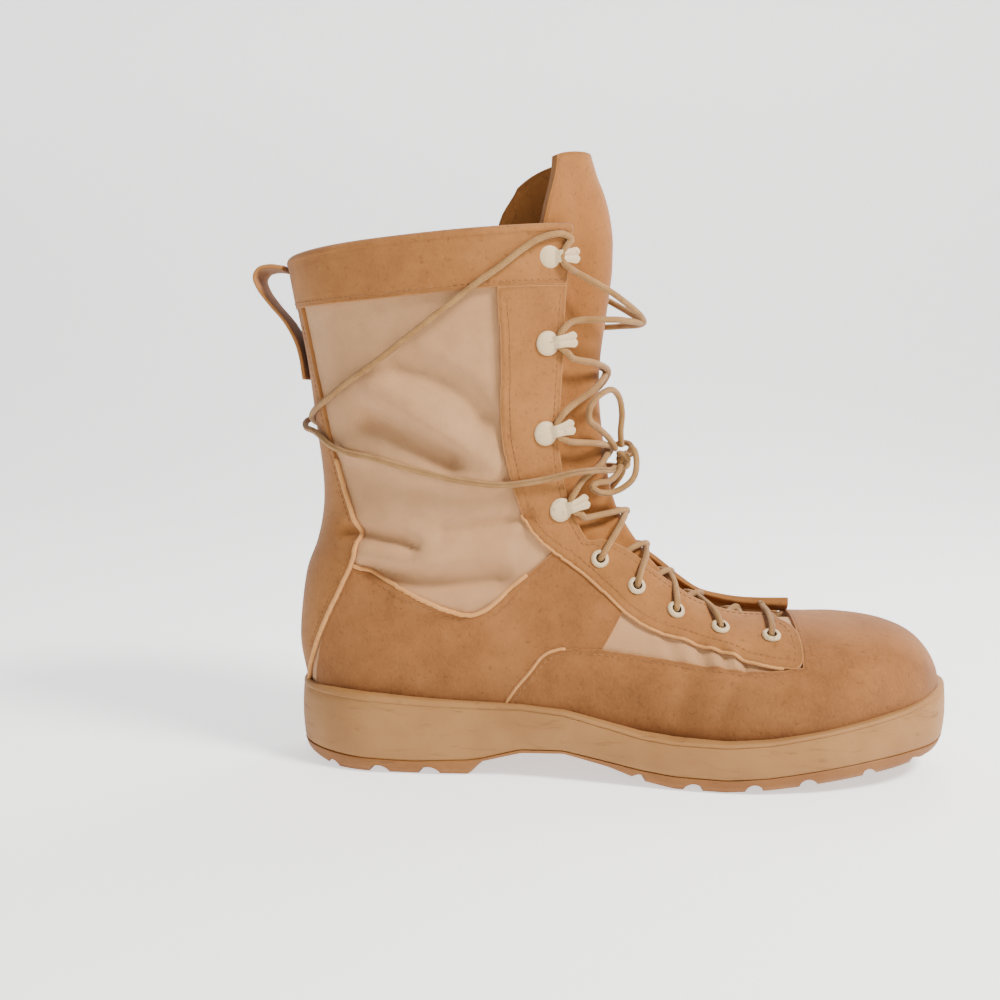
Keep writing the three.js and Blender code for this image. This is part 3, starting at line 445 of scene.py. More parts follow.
stitch = {"pitch": 2.8 * mm, "length": 2.2 * mm, "width": 0.6 * mm, "height": 0.5 * mm, "rise": 0.06 * mm}


def stitchRow(line, side, out=0.0):
    # stitches at even steps along a line of places
    length = np.linalg.norm(np.diff(onSurface(line), axis=0), axis=1).sum()
    line = resample(line, max(4, int(length / stitch["pitch"])), onSurface)
    v, u = line[:, 0], side * line[:, 1]
    centres = skin(v, u, np.full(len(v), out + stitch["rise"]))
    tangent, across, up = frames(centres, facing(v, u))
    return capsules(centres, tangent, across, up, stitch["length"], stitch["width"], stitch["height"])


def joined(parts):
    # several (points, faces) pairs as one
    start = np.cumsum([0] + [len(points) for points, faces in parts[:-1]])
    return (np.concatenate([points for points, faces in parts]),
            np.concatenate([faces + first for (points, faces), first in zip(parts, start)]))


def tube(route, radius, up, sides=12, flat=1.0):
    # a round section carried along a path, with closed ends drawn together over half a radius
    tangent, side, high = frames(route, np.broadcast_to(np.asarray(up, float), route.shape))
    radius = np.broadcast_to(np.asarray(radius, float), len(route))
    ends = np.concatenate([route[:1], route, route[-1:]])
    wide = np.concatenate([[1e-6], radius, [1e-6]])
    wide[1] *= 0.8
    wide[-2] *= 0.8
    side, high = (np.concatenate([a[:1], a, a[-1:]]) for a in (side, high))
    angle = np.linspace(0, 2 * np.pi, sides, endpoint=False)
    ring = side[:, None] * np.cos(angle)[None, :, None] + high[:, None] * (np.sin(angle) * flat)[None, :, None]
    points = (ends[:, None] + ring * wide[:, None, None]).reshape(-1, 3)
    faces = gridFaces(len(ends), sides, True)
    length = np.concatenate([[0], np.cumsum(np.linalg.norm(np.diff(ends, axis=0), axis=1))])
    uv = np.stack(np.broadcast_arrays(angle[None] / (2 * np.pi), length[:, None] / 0.1), -1).reshape(-1, 2)
    return points, outward(points, faces), uv


def spline(points, step):
    # Catmull-Rom curve with centripetal knots, sampled at even steps
    points = np.asarray(points, float)
    ends = np.concatenate([[2 * points[0] - points[1]], points, [2 * points[-1] - points[-2]]])
    knots = np.concatenate([[0], np.cumsum(np.linalg.norm(np.diff(ends, axis=0), axis=1) ** 0.5)])
    pieces = []
    for i in range(1, len(ends) - 2):
        a, b, c, d = ends[i - 1:i + 3]
        ta, tb, tc, td = knots[i - 1:i + 3]
        t = np.linspace(tb, tc, 24, endpoint=False)[:, None]
        ab = mix(a, b, (t - ta) / (tb - ta))
        bc = mix(b, c, (t - tb) / (tc - tb))
        cd = mix(c, d, (t - tc) / (td - tc))
        pieces.append(mix(mix(ab, bc, (t - ta) / (tc - ta)), mix(bc, cd, (t - tb) / (td - tb)), (t - tb) / (tc - tb)))
    fine = np.concatenate([*pieces, points[-1:]])
    length = np.linalg.norm(np.diff(fine, axis=0), axis=1).sum()
    return resample(fine, max(8, int(length / step)), lambda places: places)


# Materials

def linear(red, green, blue):
    # display values 0-255 to linear ones: below 0.04045 c/12.92, else ((c + 0.055)/1.055) to the power 2.4
    c = np.array([red, green, blue]) / 255
    return (*np.where(c <= 0.04045, c / 12.92, ((c + 0.055) / 1.055) ** 2.4).tolist(), 1)


class Wire:
    # a socket of a material's node graph; arithmetic on it adds math nodes
    def __init__(self, finish, socket):
        self.finish, self.socket = finish, socket

    def maths(self, operation, *others, first=None):
        start = self if first is None else first
        return self.finish.node("ShaderNodeMath", {"operation": operation}, {0: start, **dict(enumerate(others, 1))})

    def __add__(self, other):
        return self.maths("ADD", other)

    def __radd__(self, other):
        return self.maths("ADD", self, first=other)

    def __sub__(self, other):
        return self.maths("SUBTRACT", other)

    def __rsub__(self, other):
        return self.maths("SUBTRACT", self, first=other)

    def __mul__(self, other):
        return self.maths("MULTIPLY", other)

    def __rmul__(self, other):
        return self.maths("MULTIPLY", self, first=other)

    def __truediv__(self, other):
        return self.maths("DIVIDE", other)

    def __pow__(self, other):
        return self.maths("POWER", other)

    def sin(self):
        return self.maths("SINE")

    def abs(self):
        return self.maths("ABSOLUTE")

    def low(self, other):
        return self.maths("MINIMUM", other)

    def high(self, other):
        return self.maths("MAXIMUM", other)

    def step(self, start, end):
        # 0 at start, 1 at end, smooth between
        settings = {"interpolation_type": "SMOOTHSTEP"}
        return self.finish.node("ShaderNodeMapRange", settings, {0: self, 1: start, 2: end, 3: 0.0, 4: 1.0})


class Finish:
    # a procedural material; node() adds any node, its settings first, then its inputs
    def __init__(self, name, **constants):
        self.material = bpy.data.materials.new(name)
        self.material.use_nodes = True
        self.nodes = self.material.node_tree.nodes
        self.links = self.material.node_tree.links
        self.shader = self.nodes["Principled BSDF"]
        for key, value in constants.items():
            self.shader.inputs[key.replace("_", " ")].default_value = value
        self.place = self.node("ShaderNodeTexCoord", {}, {}, "Object")

    def node(self, kind, settings, inputs, output=0):
        made = self.nodes.new(kind)
        for key, value in settings.items():
            setattr(made, key, value)
        for key, value in inputs.items():
            if isinstance(value, Wire):
                self.links.new(value.socket, made.inputs[key])
            else:
                made.inputs[key].default_value = value
        return Wire(self, made.outputs[output])

    def noise(self, scale, detail=3, rough=0.55, at=None, twist=0.0):
        inputs = {"Vector": at or self.place, "Scale": scale, "Detail": detail, "Roughness": rough, "Distortion": twist}
        return self.node("ShaderNodeTexNoise", {}, inputs)

    def stretched(self, x, y, z, at=None):
        # a place scaled along its axes
        return self.node("ShaderNodeVectorMath", {"operation": "MULTIPLY"}, {0: at or self.place, 1: (x, y, z)})

    def split(self, at=None):
        made = self.node("ShaderNodeSeparateXYZ", {}, {0: at or self.place})
        return [Wire(self, socket) for socket in made.socket.node.outputs]

    def note(self, name):
        return self.node("ShaderNodeAttribute", {"attribute_name": name}, {}, "Fac")

    def blend(self, share, first, second):
        made = self.nodes.new("ShaderNodeMix")
        made.data_type = "RGBA"
        for key, value in ((0, share), (6, first), (7, second)):
            if isinstance(value, Wire):
                self.links.new(value.socket, made.inputs[key])
            else:
                made.inputs[key].default_value = value
        return Wire(self, made.outputs[2])

    def bump(self, height, distance, strength=1.0):
        # height is 0-1; distance is what 1 stands for, in metres
        return self.node("ShaderNodeBump", {}, {"Height": height, "Distance": distance, "Strength": strength})

    def set(self, **values):
        for key, wire in values.items():
            self.links.new(wire.socket, self.shader.inputs[key.replace("_", " ")])
        return self.material


def suede(name, tone, pale, dark, wear=1.0):
    # Napped leather. Colour drifts between a warm and a pale tone, dirt gathers at the borders,
    # the colour grows darker towards the sole, and the nap shows as short streaks.
    f = Finish(name, Roughness=0.93, Sheen_Weight=0.12, Sheen_Roughness=0.5, Specular_IOR_Level=0.18)
    x, y, z = f.split()
    edge = f.note("edge")
    broad = f.noise(26, 3, 0.6)
    cloud = f.noise(85, 4, 0.62, twist=0.6)
    nap = f.noise(900, 3, 0.7, f.stretched(1, 1, 0.6))
    grain = f.noise(2600, 2, 0.6)
    pits = f.noise(420, 3, 0.55)
    rubbed = broad.step(0.38, 0.7) * 0.6 + cloud.step(0.45, 0.8) * 0.25
    colour = f.blend(rubbed.low(1.0) * 0.6, tone, pale)
    darkShare = cloud.step(0.6, 0.3) * 0.3 + broad.step(0.5, 0.25) * 0.5
    low = z.step(0.062, 0.03) * 0.35
    border = edge.step(2.6, 0.2) * cloud.step(0.3, 0.6) * 0.45
    colour = f.blend((darkShare * 0.4 * wear + low + border).low(0.8), colour, dark)
    colour = f.blend(nap.step(0.35, 0.75) * 0.22, colour, pale)
    colour = f.blend(pits.step(0.42, 0.28) * 0.3, colour, dark)
    cut = edge.step(0.75, 0.3) * 0.6
    colour = f.blend(cut, colour, pale)
    height = nap * 0.35 + grain * 0.2 + pits.step(0.25, 0.5) * 0.35 + cloud * 0.5
    groove = edge.step(1.9, 2.6) - edge.step(4.0, 4.7)
    height = height - groove * 0.25
    return f.set(Base_Color=colour, Normal=f.bump(height, 0.00035, 0.9), Roughness=0.86 + nap * 0.12)


def woven(name, tone, pale, dark):
    # Plain weave from the piece's own lengths: two rows of rounded threads, over and under.
    f = Finish(name, Roughness=0.8, Sheen_Weight=0.15, Sheen_Roughness=0.4, Specular_IOR_Level=0.25)
    cloth = f.node("ShaderNodeUVMap", {"uv_map": "surface"}, {})
    u, v, w = f.split(cloth)
    count = 2 * np.pi * 95
    warp, weft = (u * count).sin(), (v * count).sin()
    over = ((u * (count / 2)).sin() * (v * (count / 2)).sin()).step(-0.4, 0.4)
    threads = warp.abs() * over + weft.abs() * (1 - over)
    broad, cloud, fuzz = f.noise(22, 3), f.noise(120, 4, 0.6), f.noise(1800, 2)
    colour = f.blend(broad.step(0.35, 0.7) * 0.5, tone, pale)
    # random dirt from the noise, plus painted shade in the gaps between the threads
    darkShare = cloud.step(0.6, 0.3) * 0.12 + (1 - threads) * 0.3
    colour = f.blend(darkShare, colour, dark)
    height = threads * 0.7 + fuzz * 0.2 + cloud * 0.5
    return f.set(Base_Color=colour, Normal=f.bump(height, 0.0003, 0.8), Roughness=0.74 + fuzz * 0.15)


def moulded(name, tone, pale, dark, rough, scuffed=1.0):
    # Moulded foam or rubber: smooth, with fine pits and scuffs along it.
    f = Finish(name, Roughness=rough, Specular_IOR_Level=0.35)
    x, y, z = f.split()
    broad = f.noise(30, 3)
    scuffs = f.noise(90, 5, 0.65, f.stretched(0.5, 0.6, 2.4), 0.8)
    pits = f.noise(1500, 2, 0.5)
    scratch = f.noise(300, 3, 0.7, f.stretched(0.25, 0.3, 3))
    colour = f.blend(broad.step(0.35, 0.7) * 0.7, tone, pale)
    colour = f.blend(scuffs.step(0.56, 0.72) * 0.55 * scuffed, colour, dark)
    colour = f.blend(scratch.step(0.62, 0.7) * 0.3 * scuffed, colour, pale)
    colour = f.blend(pits.step(0.4, 0.25) * 0.35, colour, dark)
    height = scuffs * 0.35 + pits * 0.25 + scratch.step(0.6, 0.72) * -0.2
    return f.set(Base_Color=colour, Normal=f.bump(height, 0.00025, 0.7), Roughness=rough + scuffs * 0.25)


def painted(name, tone, bare):
    # Painted metal, rubbed through to bare metal in random patches.
    f = Finish(name, Roughness=0.5, Specular_IOR_Level=0.4)
    chips = f.noise(420, 5, 0.7, twist=0.5)
    fine = f.noise(2400, 2)
    worn = chips.step(0.6, 0.66)
    colour = f.blend(chips.step(0.52, 0.35) * 0.25, tone, linear(176, 158, 130))
    colour = f.blend(worn * 0.75, colour, bare)
    height = (1 - worn) * 0.5 + fine * 0.15
    wires = {"Base_Color": colour, "Metallic": worn * 0.6, "Roughness": 0.42 + chips * 0.3}
    return f.set(**wires, Normal=f.bump(height, 0.00012, 0.7))


def braided(name, tone, pale, dark):
    # Round braid from the tube's own lengths: two sets of strands crossing round it.
    f = Finish(name, Roughness=0.88, Sheen_Weight=0.15, Specular_IOR_Level=0.2)
    braid = f.node("ShaderNodeUVMap", {"uv_map": "surface"}, {})
    around, length, w = f.split(braid)
    turns, rate = 2 * np.pi * 4, 2 * np.pi * 48
    left = (around * turns + length * rate).sin()
    right = (around * turns - length * rate).sin()
    strands = left.abs().high(right.abs())
    cloud, fuzz = f.noise(140, 3), f.noise(3000, 2)
    colour = f.blend(cloud.step(0.35, 0.65) * 0.6, tone, pale)
    # painted shade: the colour darkens in the grooves between the strands
    colour = f.blend((1 - strands).step(0.1, 0.7) * 0.75, colour, dark)
    height = strands * 0.8 + fuzz * 0.25
    return f.set(Base_Color=colour, Normal=f.bump(height, 0.0004, 1.0), Roughness=0.8 + fuzz * 0.15)


def plain(name, tone, dark, rough=0.9):
    # Felt, lining or thread: one tone with fine and broad unevenness.
    f = Finish(name, Roughness=rough, Sheen_Weight=0.1, Specular_IOR_Level=0.2)
    broad, fuzz = f.noise(60, 4), f.noise(1600, 3)
    colour = f.blend(broad.step(0.65, 0.35) * 0.5 + fuzz.step(0.6, 0.4) * 0.15, tone, dark)
    return f.set(Base_Color=colour, Normal=f.bump(fuzz, 0.0003, 0.6))


suedeFinish = suede("suede", linear(138, 88, 44), linear(166, 114, 64), linear(88, 54, 26))
vampFinish = suede("suedeFoot", linear(132, 83, 42), linear(160, 108, 62), linear(82, 50, 25), 1.2)
# a paler copy of the suede for the corded edges: painted highlight along their rolled ridges
beadHighlightFinish = suede("suedeBeadHighlight", linear(186, 130, 74), linear(206, 152, 94), linear(130, 84, 44), 0.5)
tongueFinish = suede("suedeTongue", linear(136, 84, 38), linear(160, 106, 54), linear(76, 46, 20))
nylonFinish = woven("nylon", linear(186, 140, 97), linear(200, 156, 112), linear(124, 86, 54))
midsoleFinish = moulded("midsole", linear(140, 97, 52), linear(156, 112, 64), linear(98, 65, 34), 0.55)
gumFinish = moulded("gum", linear(124, 76, 30), linear(140, 92, 42), linear(72, 44, 18), 0.5)
# the lining is tan cloth drawn brown: the darkening is painted shade of the boot's inside
liningFinish = plain("lining", linear(120, 88, 62), linear(70, 50, 36))
insoleFinish = plain("insole", linear(128, 104, 78), linear(84, 66, 48))
metalFinish = painted("paintedMetal", linear(200, 174, 134), linear(124, 104, 80))
laceFinish = braided("lace", linear(152, 110, 62), linear(174, 132, 80), linear(86, 56, 28))
threadFinish = plain("thread", linear(146, 98, 52), linear(100, 64, 34), 0.75)
# painted shade: a near-black finish for the discs that close the eyelets' holes
holeShadowFinish = plain("shadow", linear(46, 32, 24), linear(30, 20, 16))
print("materials")

# Places seen from the side, in millimetres along and up, as stations and turns.
sideV, sideU = np.meshgrid(np.arange(0, collar + 0.51, 0.04), np.linspace(0, 1, 160), indexing="ij")
sideXZ = surface(sideV, -sideU)[..., [0, 2]] / mm


def seen(points):
    # nearest sample of the surface, then damped Newton steps on its side view
    points = np.asarray(points, float)
    flat = sideXZ.reshape(-1, 2)
    k = np.array([np.argmin(((flat - point) ** 2).sum(1)) for point in points])
    place = np.stack([sideV.ravel()[k], sideU.ravel()[k]], 1)
    for turn in range(4):
        v, u = place.T
        here = surface(v, -u)[:, [0, 2]] / mm
        dv = (surface(v + 1e-3, -u)[:, [0, 2]] / mm - here) / 1e-3
        du = (surface(v, -u - 1e-3)[:, [0, 2]] / mm - here) / 1e-3
        miss = points - here
        det = dv[:, 0] * du[:, 1] - dv[:, 1] * du[:, 0]
        det = np.where(np.abs(det) < 1, np.sign(det + 1e-9), det)
        jump = np.stack([miss[:, 0] * du[:, 1] - miss[:, 1] * du[:, 0], dv[:, 0] * miss[:, 1] - dv[:, 1] * miss[:, 0]], 1)
        place = np.clip(place + np.clip(jump / det[:, None], -0.05, 0.05) * [1, 0.2], 0, [collar + 0.5, 1])
    return place


def eased(points, count, soft):
    # evenly spaced points of a side view, each averaged with its neighbours, both ends kept
    fine = resample(np.asarray(points, float), count, lambda line: line)
    if soft == 0:
        return fine
    pad = np.concatenate([2 * fine[0] - fine[soft:0:-1], fine, 2 * fine[-1] - fine[-2:-soft - 2:-1]])
    kernel = np.hanning(2 * soft + 3)[1:-1]
    return np.stack([np.convolve(column, kernel / kernel.sum(), "valid") for column in pad.T], 1)


def border(*parts, count=120, soft=7, low=None, high=None):
    # side-view lists, each eased, joined at sharp corners, spaced evenly and laid on the surface;
    # low and high replace its end places, so that neighbours share them
    line = np.concatenate([eased(part, 90, soft) for part in parts])
    keep = np.concatenate([[True], np.linalg.norm(np.diff(line, axis=0), axis=1) > 1e-9])
    places = seen(resample(line[keep], count, lambda points: points))
    places[0] = places[0] if low is None else low
    places[-1] = places[-1] if high is None else high
    return places


def shown(v, u):
    # a place of the outer side as a point of the side view
    return tuple((surface(v, -u)[[0, 2]] / mm).tolist())


# Borders of the suede panels, seen from the outer side, in millimetres.
facingBack = [(64.7, 225.1), (65.7, 210.4), (66.3, 183), (66, 157), (68.5, 146), (72, 132), (75, 123), (78, 117),
              (83, 110), (91, 104), (99, 98), (107, 92), (118, 82)]
facingFoot = [(118, 82), (121, 78.5), (132, 71), (141, 68), (150, 65), (160, 63), (169, 61), (176, 59), (182, 56),
              (190, 54.6), (200, 54.5)]
facingTip = [[5.99, 0.489], [5.97, 0.431], [5.97, 0.351], [5.99, 0.271], [6.1, 0.198], [6.28, 0.15], [6.3, 0.1]]
quarterTop = [(-4, 98), (6, 94), (14, 90), (23, 86), (32, 82), (40, 78.3), (46, 76), (51, 75), (56, 76), (62, 80),
              (70, 88), (80, 96), (91, 105.5)]
quarterFront = [(70, 18), (77, 38), (83, 46), (88, 53), (93, 57), (104, 58), (112, 59.5), (117, 68), (123, 79),
                (121, 84), (110, 94), (102, 100), (91, 105.5)]
vampTop = [shown(6.0, 0.51), (196, 54.2), (188, 53.6), (180, 53.8), (174, 54), (164, 55), (153, 55.7), (143, 57),
           (128, 59), (112, 61), (102, 61.3), (96, 61)]
vampBack = [(63, 20), (66, 30), (69, 36), (73, 42), (79, 49), (84, 56), (87, 58.6), (91, 60.3), (96, 61)]
stayFront = [(-31.5, 33), (-30, 43), (-27, 51), (-23, 61), (-18, 73), (-12, 84), (-6, 96), (-2.5, 103), (-1, 109),
             (-1.5, 114), (-4.5, 123), (-9, 134), (-13, 148), (-16.5, 160), (-19.1, 174), (-24, 190), (-29.4, 217)]
quarterFoot = [(-26, 27), (-8, 26), (20, 25), (50, 21), (70, 18)]
bandLow = [[23.2, 1], [23.15, 0.87], [22.98, 0.58], [22.88, 0.385], [22.77, 0.215]]
throatRows = table("v u", [
    [5.93, 0.05], [6.3, 0.09], [8, 0.15], [10, 0.175], [12, 0.19], [14, 0.195], [15.6, 0.206], [17.3, 0.233],
    [18.8, 0.242], [20, 0.227], [21.4, 0.215], [25, 0.215],
])
layers = {"quarter": -0.3 * mm, "panel": 0.1 * mm, "stay": 0.4 * mm, "facing": 0.8 * mm, "band": 1.0 * mm}


def throatTurn(v):
    return np.interp(v, throatRows["v"], throatRows["u"])


def throatLine(low, high, count=40):
    v = np.linspace(low, high, count)
    return np.stack([v, throatTurn(v)], 1)


def aroundBack(places):
    # second number w runs from -1 to 1 across the back seam: turn = -(1 + w) before it, 1 - w after it
    v, w = places[..., 0], places[..., 1]
    return np.stack([v, np.where(w <= 0, -(1 + w), 1 - w)], -1)


def mergedPlaces(grids):
    # several grids of places as one list of points and faces, all faces turned out, shared places joined
    places, faces, start = [], [], 0
    for grid in grids:
        rows, columns = grid.shape[:2]
        v, u = grid[rows // 2:rows // 2 + 2, columns // 2:columns // 2 + 2].reshape(-1, 2).T
        a, b, c, d = surface(v, u)
        one = gridFaces(rows, columns) + start
        turnedOut = np.cross(b - a, c - a) @ facing(v, u).mean(0) < 0
        places.append(grid.reshape(-1, 2))
        faces.append(one if turnedOut else one[:, ::-1])
        start += rows * columns
    places, faces = np.concatenate(places), np.concatenate(faces)
    points = np.round(surface(places[:, 0], places[:, 1]) / (0.02 * mm) + 0.37).astype(np.int64)
    kept, first, index = np.unique(points, axis=0, return_index=True, return_inverse=True)
    faces = index.ravel()[faces]
    ordered = np.sort(faces, 1)
    corners = 1 + (np.diff(ordered, axis=1) > 0).sum(1)
    crossed = (faces[:, 0] == faces[:, 2]) | (faces[:, 1] == faces[:, 3])
    whole = (corners >= 3) & ~crossed
    once = np.zeros(len(faces), bool)
    once[np.unique(ordered, axis=0, return_index=True)[1]] = True
    return places[first], faces[whole & once]


def leather(name, grids, finish, top, nodes, thick=None, inside=None, soft=0.55 * mm):
    # both skins over merged grids of places, with walls at their borders; inside is the lining
    thick = boot["hide"] + 0.6 * mm if thick is None else thick
    places, faces = mergedPlaces(grids)
    v, u = places.T
    upper = skin(v, u, np.full(len(v), top))
    lower = skin(v, u, np.full(len(v), top - thick))
    points = np.concatenate([upper, lower])
    uv = np.concatenate([measure(places)] * 2)
    edge = np.tile(fromBorder(upper, faces), 2)
    made = newPiece(name, points, outward(points, thicken(faces, len(v))), finish, uv, {"edge": edge})
    if inside is not None:
        made.data.materials.append(inside)
        lining = np.zeros(len(made.data.polygons), np.int32)
        lining[len(faces):2 * len(faces)] = 1
        made.data.polygons.foreach_set("material_index", lining)
    roundEdges(made, soft)
    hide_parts(*nodes)
    return made


def measure(places):
    # cloth lengths of each place in tenths of a metre: along the station from the ridge, and up the leg
    v, u = places.T
    half = np.linalg.norm(np.diff(surface(v[:, None], np.sign(u + 1e-9)[:, None] * np.linspace(0, 1, 33)), axis=1), axis=-1)
    reach = np.concatenate([np.zeros((len(v), 1)), np.cumsum(half, 1)], 1)
    share = np.abs(u) * 32
    i = np.minimum(share.astype(int), 31)
    rows = np.arange(len(v))
    across = mix(reach[rows, i], reach[rows, i + 1], share - i) * np.sign(u + 1e-9)
    line = surface(np.linspace(0, collar, 400), 0.45)
    up = np.concatenate([[0], np.cumsum(np.linalg.norm(np.diff(line, axis=0), axis=1))])
    return np.stack([across, np.interp(v, np.linspace(0, collar, 400), up)], 1) / 0.1


def sided(grid, side):
    return grid * np.array([1, side])


# Upper: nylon outside, padding and lining inside, open at the throat, the collar and the sole
rowsToe, rowsLeg = 60, 190
turnsSide = np.linspace(0, 1, 90)
toeRows = np.linspace(0, 5.93, rowsToe)


def toeTurns(side):
    return side * mix(0.05, 1, turnsSide)


toeColumns = np.concatenate([toeTurns(-1)[::-1], np.linspace(-0.05, 0.05, 7)[1:-1], toeTurns(1)])
toeGrid = np.stack(np.meshgrid(toeRows, toeColumns, indexing="ij"), -1)
legRows = np.linspace(5.93, collar, rowsLeg)
legGrids = []
for side in (-1, 1):
    turn = side * mix(throatTurn(legRows)[:, None], 1, turnsSide[None])
    grid = np.stack([np.broadcast_to(legRows[:, None], turn.shape), turn], -1)
    legGrids.append(grid if side > 0 else grid[:, ::-1])
shellOut = -boot["hide"] - boot["fit"]
shell = leather("upper", [toeGrid, *legGrids], nylonFinish, shellOut + 0.5 * mm, ["upper"],
                boot["wall"] + 1.2 * mm, liningFinish)
print("upper")

# Vamp: the toe and a wing along each side of the foot
wingTurns = np.linspace(0, 1, 46)
toeTurn = np.concatenate([-mix(0.51, 1, wingTurns)[::-1], np.linspace(-0.51, 0.51, 63)[1:-1], mix(0.51, 1, wingTurns)])
vampGrids = [np.stack(np.meshgrid(np.linspace(0, 6.0, 90), toeTurn, indexing="ij"), -1)]
wingCorner = seen([(96, 61)])[0]
wingFoot = seen([(63, 20)])[0]
wingLow = resample(np.array([[6.0, 1], [7, 1], [8, 1], [9, 1], wingFoot]), 70, onSurface)
wingHigh = border(vampTop, count=70, soft=4, low=[6.0, 0.51], high=wingCorner)
wingRight = border(vampBack, count=46, soft=5, low=wingFoot, high=wingCorner)
wingLeft = np.stack([np.full(46, 6.0), mix(1, 0.51, wingTurns)], 1)
wing = coons(wingLow, wingHigh, wingLeft, wingRight)
vampGrids += [sided(wing, side) for side in (1, -1)]
vamp = leather("vamp", vampGrids, vampFinish, layers["panel"], ["vamp"])
print("vamp")

# Quarters, facings, backstay and collar band
stayCorner, quarterTip = seen([(-4, 98)])[0], seen([quarterTop[-1]])[0]
quarterBack = border([(-26, 27), (-25, 45), (-20, 66), (-13, 80), (-4, 98)], count=60, high=stayCorner)
quarterHigh = border(quarterTop, count=90, soft=5, low=stayCorner, high=quarterTip)
quarterRight = border(quarterFront, count=60, soft=3, high=quarterTip)
quarterLow = border(quarterFoot, count=90, low=quarterBack[0], high=quarterRight[0])
quarter = coons(quarterLow, quarterHigh, quarterBack, quarterRight)
facingRight = resample(throatLine(6.3, 22.77), 170, onSurface)
facingTop = seen([facingBack[0]])[0]
facingLeft = border([*facingFoot[::-1], *facingBack[::-1][1:]], count=170, soft=5, high=facingTop)
facingLow = resample(np.array([facingLeft[0], *facingTip, facingRight[0]]), 44, onSurface)
facingLow = np.concatenate([facingLow[:1], smoothed(facingLow, 42, 4)[1:-1], facingLow[-1:]])
facingGrid = coons(facingLow, np.linspace(facingTop, facingRight[-1], 42), facingLeft, facingRight)
for side, word in ((-1, "outer"), (1, "inner")):
    leather(f"quarter_{word}", [sided(quarter, side)], vampFinish, layers["quarter"], [f"quarter_{word}"])
    leather(f"facing_{word}", [sided(facingGrid, side)], suedeFinish, layers["facing"], [f"facing_{word}"])

stayTopPlace = np.array([23.15, 0.87])
stayCut = border(stayFront, count=110, soft=6, high=stayTopPlace)
stayOuter = np.stack([stayCut[:, 0], stayCut[:, 1] - 1], 1)
stayInner = np.stack([stayCut[:, 0], 1 - stayCut[:, 1]], 1)
stayBottom = np.linspace(stayOuter[0], stayInner[0], 41)
stayBottom[:, 0] = stayOuter[0, 0]
stayTop = np.linspace(stayOuter[-1], stayInner[-1], 41)
stayTop[:, 0] = 23.2 - 0.05 * np.abs(stayTop[:, 1]) / 0.13
stayGrid = aroundBack(coons(stayBottom, stayTop, stayOuter, stayInner))
stayHalves = [stayGrid[:, :21], np.concatenate([stayGrid[:, 20:21] * [1, -1], stayGrid[:, 21:]], 1)]
leather("backstay", stayHalves, suedeFinish, layers["stay"], ["backstay"])

bandTurns = np.linspace(0.215, 1, 100)
lowLine = smoothed(bandLow[::-1], 100, 9)
bandStart = np.interp(bandTurns, lowLine[:, 1], lowLine[:, 0])
bandRows = np.linspace(0, 1, 16)[:, None]
bandV = mix(bandStart[None], collar - 0.02, bandRows)
bandGrid = np.stack([bandV, np.broadcast_to(bandTurns, bandV.shape)], -1)
leather("collar_band", [sided(bandGrid, -1)[:, ::-1], sided(bandGrid, 1)], suedeFinish, layers["band"],
        ["collar_band"], boot["hide"] + 1.4 * mm)
print("panels")

# Sole: plan line, closed and smooth, and bodies with a side profile between two levels
planRows = [np.stack([along(soleTable["at"]), -soleTable["outer"] * boot["soleWidth"] / 2], 1),
            np.stack([along(soleTable["at"]), soleTable["inner"] * boot["soleWidth"] / 2], 1)[1:-1][::-1]]
plan = np.concatenate(planRows)


def planPoint(t):
    # the same cubic as the stations', round the closed line of rows
    i = np.floor(t).astype(int)
    a, b, c, d = (plan[(i + step) % len(plan)] for step in (-1, 0, 1, 2))
    t = (t - i)[:, None]
    return 0.5 * (2 * b + (c - a) * t + (2 * a - 5 * b + 4 * c - d) * t**2 + (3 * b - a - 3 * c + d) * t**3)


def planLine(count):
    # evenly spaced points of the plan with their outward directions
    t = np.linspace(0, len(plan), 6001)[:-1]
    fine = planPoint(t)
    closed = np.concatenate([fine, fine[:1]])
    length = np.concatenate([[0], np.cumsum(np.linalg.norm(np.diff(closed, axis=0), axis=1))])
    at = np.linspace(0, length[-1], count, endpoint=False)
    points = np.stack([np.interp(at, length, column) for column in closed.T], 1)
    ahead = unit(np.roll(points, -2, 0) - np.roll(points, 2, 0))
    return points, np.stack([ahead[:, 1], -ahead[:, 0]], 1)


def ringStack(rings):
    # loops of equal count, one above another, closed by drawing the first and last to their middle line
    first, last = rings[0], rings[-1]
    under = [first * [1, share, 1] for share in (1e-4, 0.25, 0.5, 0.75, 0.95)]
    over = [last * [1, share, 1] for share in (0.95, 0.75, 0.5, 0.25, 1e-4)]
    rings = [*under, *rings, *over]
    count = len(first)
    points = np.concatenate(rings)
    return points, outward(points, gridFaces(len(rings), count, True))


def soleRings(count, low, high, profile):
    # rings of the plan moved out by the profile; low and high give levels for a share of the length
    points, out = planLine(count)
    share = (points[:, 0] + boot["heelReach"]) / boot["soleLength"]
    rings = []
    for rise, reach in profile:
        moved = points + out * reach * mm
        level = mix(low(share), high(share), rise)
        rings.append(np.column_stack([moved, level]))
    return rings


def applied(piece):
    # the piece with its modifiers made permanent
    graph = bpy.context.evaluated_depsgraph_get()
    mesh = bpy.data.meshes.new_from_object(piece.evaluated_get(graph))
    piece.modifiers.clear()
    piece.data = mesh
    return piece


def cut(piece, points, faces):
    # takes a closed body away from a piece
    mesh = bpy.data.meshes.new("cutter")
    mesh.from_pydata(points.tolist(), [], faces if isinstance(faces, list) else faces.tolist())
    weld(mesh)
    cutter = bpy.data.objects.new("cutter", mesh)
    bpy.context.scene.collection.objects.link(cutter)
    boolean = piece.modifiers.new("cut", "BOOLEAN")
    boolean.operation, boolean.solver, boolean.object = "DIFFERENCE", "EXACT", cutter
    applied(piece)
    bpy.data.objects.remove(cutter)
    bpy.data.meshes.remove(mesh)
    piece.data.set_sharp_from_angle(angle=np.radians(32))


